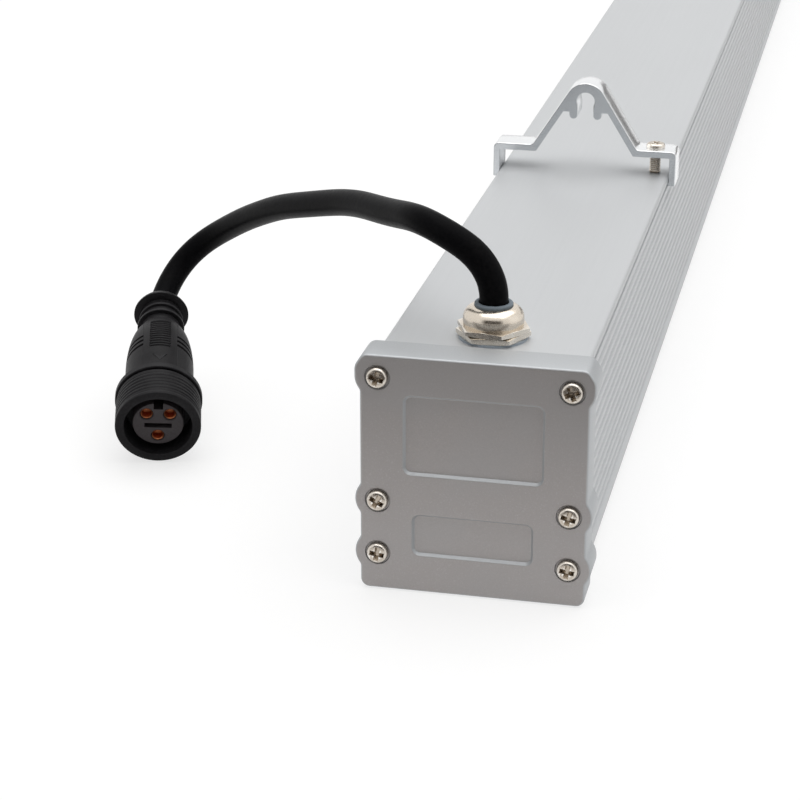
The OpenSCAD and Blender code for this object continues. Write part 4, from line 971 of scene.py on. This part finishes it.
def insertMesh():
    k = socket
    edge = [(0, k["face"]), (k["radius"] - 0.3, k["face"]), (k["radius"] - 0.1, k["face"] + 0.08),
        (k["radius"], k["face"] + 0.3), (k["radius"], k["back"]), (0, k["back"])]
    blank = meshOf("socketInsert", spun(edge, 96), plugPlace @ lieDown, 30)
    cut = bmesh.new()
    rim, well = k["contact"] + 0.4, k["contact"] + 0.15
    for x, z in k["places"]:
        addRings(cut, [[(x, y, z)] if r == 0 else [(x + a, y, z + b) for a, b in circleLoop(0, 0, r, 40)]
            for r, y in ((0, 1), (rim, 1), (rim, k["face"]), (well, k["face"] + 0.25), (well, k["wellBottom"]),
                (0, k["wellBottom"]))])
    boxShape(cut, (-k["key"][0] / 2, 0, k["radius"] - k["key"][1]), (k["key"][0] / 2, k["keyEnd"], 10))
    wide, high, deep, drop = k["slot"]
    boxShape(cut, (-wide / 2, 0, -drop - high / 2), (wide / 2, k["face"] + deep, -drop + high / 2))
    cut.transform(plugPlace)
    return cutBy("socketInsert", blank, cut, 30)


socketInsert = handOver("socketInsert", insertMesh(), "insertNylon", "lamp", ["socket_insert"])
contactProfile = [(0, 10), (socket["contact"], 10), (socket["contact"], 0.14), (socket["contact"] - 0.14, 0),
    (socket["bore"] + 0.2, 0), (socket["bore"], 0.24), (socket["bore"], 2.8), (1, 3.3), (0, 3.5)]
contactPattern = addObject("pattern", meshOf("contact", spun(contactProfile, 40), None, 35))
spots = [plugPlace @ Vector((x, socket["contactFace"], z)) for x, z in socket["places"]]
facing = tuple((plugTurn @ lieDown).to_euler())
contactMesh = grown(placesTree, pointsMesh(spots), {"Piece": contactPattern, "Facing": facing, "Spin": 1.0,
    "Spin Seed": 3, "Finish": finish["contactCopper"]}, 35)
bpy.data.objects.remove(contactPattern)
socketContacts = handOver("socketContacts", contactMesh, "contactCopper", "lamp",
    ["socket_contacts"])
print("connector made")


# Brackets: an outline of one strap with a pivot channel under its top
bracket = {"width": 11, "strap": 2.3, "legX": 28.85, "foot": 62.4, "hookTop": 63.6, "hookLength": 0.9, "earTop": 74.2,
    "earCorner": 1.8, "earIn": 17.8, "apexZ": 89.1, "apexRadius": 7.1, "channelZ": 90, "channel": 3, "mouth": 2.65,
    "tip": 1.4, "tipZ": 85.3, "webZ": 86.2, "edge": 0.28, "y": 298, "hole": 1.99, "holeCut": (70, 76)}


def bracketOutline():
    b = bracket
    rise = b["apexZ"] - b["earTop"]
    slope = math.atan2(rise, b["earIn"]) + math.asin(b["apexRadius"] / math.hypot(b["earIn"], rise))
    nx, nz = math.sin(slope), math.cos(slope)
    thin = b["apexRadius"] - b["strap"]
    cornerX = b["earIn"] - b["strap"] * (1 - nz) / nx
    webX = nx * thin + (b["apexZ"] + nz * thin - b["webZ"]) * nz / nx
    outX = b["legX"] + b["strap"]
    # From the channel's roof down to the web, out along the inside, and back over the top
    mouthAngle = -math.degrees(math.acos(b["mouth"] / b["channel"]))
    inside = arcPoints(0, b["channelZ"], b["channel"], 90, mouthAngle, 14)
    inside += arcPoints(b["mouth"] + b["tip"], b["tipZ"], b["tip"], 180, 360, 12)
    inside += [(b["mouth"] + 2 * b["tip"], b["webZ"]), (webX, b["webZ"])]
    under = b["earTop"] - b["strap"]
    outside = softened([(webX, b["webZ"]), (cornerX, under), (b["legX"], under), (b["legX"], b["hookTop"]),
        (b["legX"] - b["hookLength"], b["hookTop"]), (b["legX"] - b["hookLength"], b["foot"]), (outX, b["foot"]),
        (outX, b["earTop"] - b["earCorner"])], 0.35, 4)[1:-1]
    outside += arcPoints(outX - b["earCorner"], b["earTop"] - b["earCorner"], b["earCorner"], 0, 90, 6)
    outside += softened([(outX - b["earCorner"], b["earTop"]), (b["earIn"], b["earTop"]),
        (nx * b["apexRadius"], b["apexZ"] + nz * b["apexRadius"])], 1.1, 5)[1:-1]
    over = arcPoints(0, b["apexZ"], b["apexRadius"], 90 - math.degrees(slope), 90, 10)
    # The two halves meet on the middle line at the roof and at the top
    return inside + outside + over


def bracketMesh(name, place):
    right = bracketOutline()
    left = [(-x, z) for x, z in right]
    loop = right[:-1] + left[::-1][:-1]
    if sum(a[0] * b[1] - b[0] * a[1] for a, b in zip(loop, loop[1:] + loop[:1])) < 0:
        loop = loop[::-1]
    shape = bmesh.new()
    rows = addRings(shape, slabRings(loop, -bracket["width"] / 2, bracket["width"] / 2, bracket["edge"], 3))
    for row in (rows[0], rows[-1]):
        fillBetween(shape, [row])
    blank = meshOf(name, shape, place, 30)
    drill = postsShape([(clampScrew["x"], 0, bracket["hole"], *bracket["holeCut"])])
    drill.transform(place)
    return cutBy(name, blank, drill, 30)


for end, turn in (("near", 0), ("far", math.pi)):
    place = Matrix.Rotation(turn, 4, "Z") @ Matrix.Translation((0, -bracket["y"], 0))
    handOver("bracket" + end.title(), bracketMesh("bracket" + end.title(), place), "bracketBright", end + "_bracket",
        ["bracket_" + end])
print("brackets made")


# Light chamber: lenses, holders and diodes in one row each
light = {"holder": (10.75, 9.95, 9.15, 12, 0.5), "holderZ": 11.2, "lensZ": 11.7, "lensRings": 4, "lensPitch": 1.8,
    "ledZ": 21.2, "ledHalf": 1.75, "ledHeights": (0.7, 2), "ledEdge": 0.12}


def ledRow(name, shape, height, look, replaced, angle=32):
    pattern = addObject("pattern", meshOf(name, shape, None, angle))
    made = grown(rowTree, pointsMesh([(0, 0, 0)]), {"Piece": pattern, "Count": chambers["leds"],
        "Pitch": chambers["ledPitch"] * mm, "Height": height * mm, "Finish": finish[look]}, angle)
    bpy.data.objects.remove(pattern)
    return handOver(name, made, look, "lamp", replaced)


outer, inner, mouth, tall, ledge = light["holder"]
holderProfile = [(mouth, 0.2), (mouth + 0.2, 0), (outer - 0.3, 0), (outer, 0.3), (outer, tall), (inner, tall),
    (inner, ledge), (mouth, ledge)]
ledRow("lensHolders", spun(holderProfile, 40, closed=True), light["holderZ"], "holderPlastic",
    ["lens_holders"])
# Shallow rings on the lens's face, then its back tapering down to the diode
lensProfile = [(0, 0.35), (0.9, 0.3), (1.6, 0.1)]
for k in range(light["lensRings"]):
    lensProfile += [(2.6 + k * light["lensPitch"], 0.3), (3.4 + k * light["lensPitch"], 0.02)]
lensProfile += [(9.1, 0), (9.75, 0), (9.85, 0.12), (9.85, 1.5), (8.4, 3.2), (6.4, 6.2), (4.6, 8.2), (3.5, 9.2),
    (0, 9.2)]
ledRow("lenses", spun(lensProfile, 32), light["lensZ"], "lensClear", ["lenses"], 50)
ledShape = bmesh.new()
side, (low, high) = light["ledHalf"], light["ledHeights"]
boxShape(ledShape, (-side, -side, low), (side, side, high))
bmesh.ops.bevel(ledShape, geom=ledShape.edges, offset=light["ledEdge"], segments=2, affect="EDGES")
ledRow("ledBodies", ledShape, light["ledZ"], "ledCeramic", ["leds"])
domeProfile = [(0, 0.0), (0.5, 0.06), (0.95, 0.24), (1.25, 0.5), (1.35, 0.72), (0, 0.72)]
ledRow("ledDomes", spun(domeProfile, 20), light["ledZ"], "ledPhosphor", ["leds"], 50)
print("light chamber made")

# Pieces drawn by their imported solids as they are
dressed = {"gasketRubber": ("end_gasket_near", "end_gasket_far", "shelf_grommet", "connector_seal"),
    "frontGlass": ("front_glass",), "glandRubber": ("glass_seals",), "boardWhite": ("led_boards",),
    "boardGreen": ("driver_board",), "standoffBrass": ("board_standoffs",),
    "capacitorSleeve": ("filter_capacitors",), "coilCopper": ("power_inductor",), "chipBlack": ("driver_chips",),
    "blockGreen": ("terminal_blocks",), "leadPlastic": ("supply_leads", "through_leads", "led_leads"),
    "washerRubber": ("gland_washer_near", "gland_washer_far"),
    "glandNickel": ("gland_locknut_near", "gland_locknut_far"), "cableRubber": ("cable_entry",)}
for look, names in dressed.items():
    for name in names:
        for slot in nodes[name].material_slots:
            slot.material = finish[look]
print("solids dressed")


# Floor, light and background
studio = {"floorTone": 0.82, "floorShown": 0.34, "floorGlow": 0.71, "fill": 0.42, "fillTone": (1, 0.99, 0.975),
    "top": {"power": 47, "size": 3, "place": (0.2, 0.1, 2.3), "tilt": (0, 5, 0), "tone": (1, 1, 1)},
    "right": {"power": 2, "size": 1.8, "place": (2.2, -0.2, 0.8), "tilt": (0, 78, 0), "tone": (0.92, 0.97, 1)},
    "flag": {"place": (0.35, -2.6, 0.9), "size": (3.4, 1.5), "tone": (0.05, 0.04, 0.034)},
    "cards": (((0.1, -1.56, 0.003), (1.6, 1.9), 0), ((0.85, 2, 0.1), (1.2, 0.8), 90))}


def addStage(name, size, place, tilt, material):
    mesh = bpy.data.meshes.new(name)
    w, h = size[0] / 2, size[1] / 2
    mesh.from_pydata([(-w, -h, 0), (w, -h, 0), (w, h, 0), (-w, h, 0)], [], [(0, 1, 2, 3)])
    mesh.materials.append(material)
    thing = addObject(name, mesh)
    thing.location = place
    thing.rotation_euler = [math.radians(t) for t in tilt]
    return thing


def seenRays(tree):
    # 1 for what the camera, a reflection or a pane of glass sees
    path = addNode(tree, "ShaderNodeLightPath").outputs
    either = addNode(tree, "ShaderNodeMath", [(0, path["Is Camera Ray"]), (1, path["Is Glossy Ray"])],
        operation="MAXIMUM")
    return addNode(tree, "ShaderNodeMath", [(0, either), (1, path["Is Transmission Ray"])], operation="MAXIMUM")


def floorMaterial():
    material = bpy.data.materials.new("floorPale")
    material.use_nodes = True
    tree = material.node_tree
    tree.nodes.clear()
    plain, shown = (addNode(tree, "ShaderNodeBsdfDiffuse", values=[("Color", (studio[key],) * 3 + (1,))])
        for key in ("floorTone", "floorShown"))
    glow = addNode(tree, "ShaderNodeEmission", values=[("Strength", studio["floorGlow"])])
    both = addNode(tree, "ShaderNodeAddShader", [(0, shown), (1, glow)])
    choice = addNode(tree, "ShaderNodeMixShader", [(0, seenRays(tree)), (1, plain), (2, both)])
    addNode(tree, "ShaderNodeOutputMaterial", [(0, choice)])
    return material


def worldBackground():
    world = bpy.data.worlds.new("studio")
    bpy.context.scene.world = world
    world.use_nodes = True
    tree = world.node_tree
    tree.nodes.clear()
    fill, white = (addNode(tree, "ShaderNodeBackground", values=[("Color", (*tone, 1)), ("Strength", strength)])
        for tone, strength in ((studio["fillTone"], studio["fill"]), ((1, 1, 1), 1)))
    choice = addNode(tree, "ShaderNodeMixShader", [(0, seenRays(tree)), (1, fill), (2, white)])
    addNode(tree, "ShaderNodeOutputWorld", [(0, choice)])


def addLamp(name, look):
    data = bpy.data.lights.new(name, "AREA")
    data.energy, data.size, data.color = look["power"], look["size"], look["tone"]
    thing = bpy.data.objects.new(name, data)
    thing.location = look["place"]
    thing.rotation_euler = [math.radians(t) for t in look["tilt"]]
    bpy.context.scene.collection.objects.link(thing)


addStage("floor", (24, 24), (0, 0, -0.0004), (0, 0, 0), floorMaterial())
darkCloth = makeFinish("darkCloth", dict(tone=studio["flag"]["tone"], rough=(0.8, 0.9)))
flag = addStage("darkFlag", studio["flag"]["size"], studio["flag"]["place"], (90, 0, 0), darkCloth)
flag.visible_camera = False
# Dark cards that only reflections see: one on the floor in front, one low at the back
for place, size, tilt in studio["cards"]:
    card = addStage("darkCard", size, place, (tilt, 0, 0), darkCloth)
    card.visible_camera = card.visible_diffuse = card.visible_shadow = card.visible_transmission = False
worldBackground()
addLamp("topSoftLight", studio["top"])
addLamp("rightSoftLight", studio["right"])
bpy.context.scene.view_settings.view_transform = "Standard"
print("studio made")
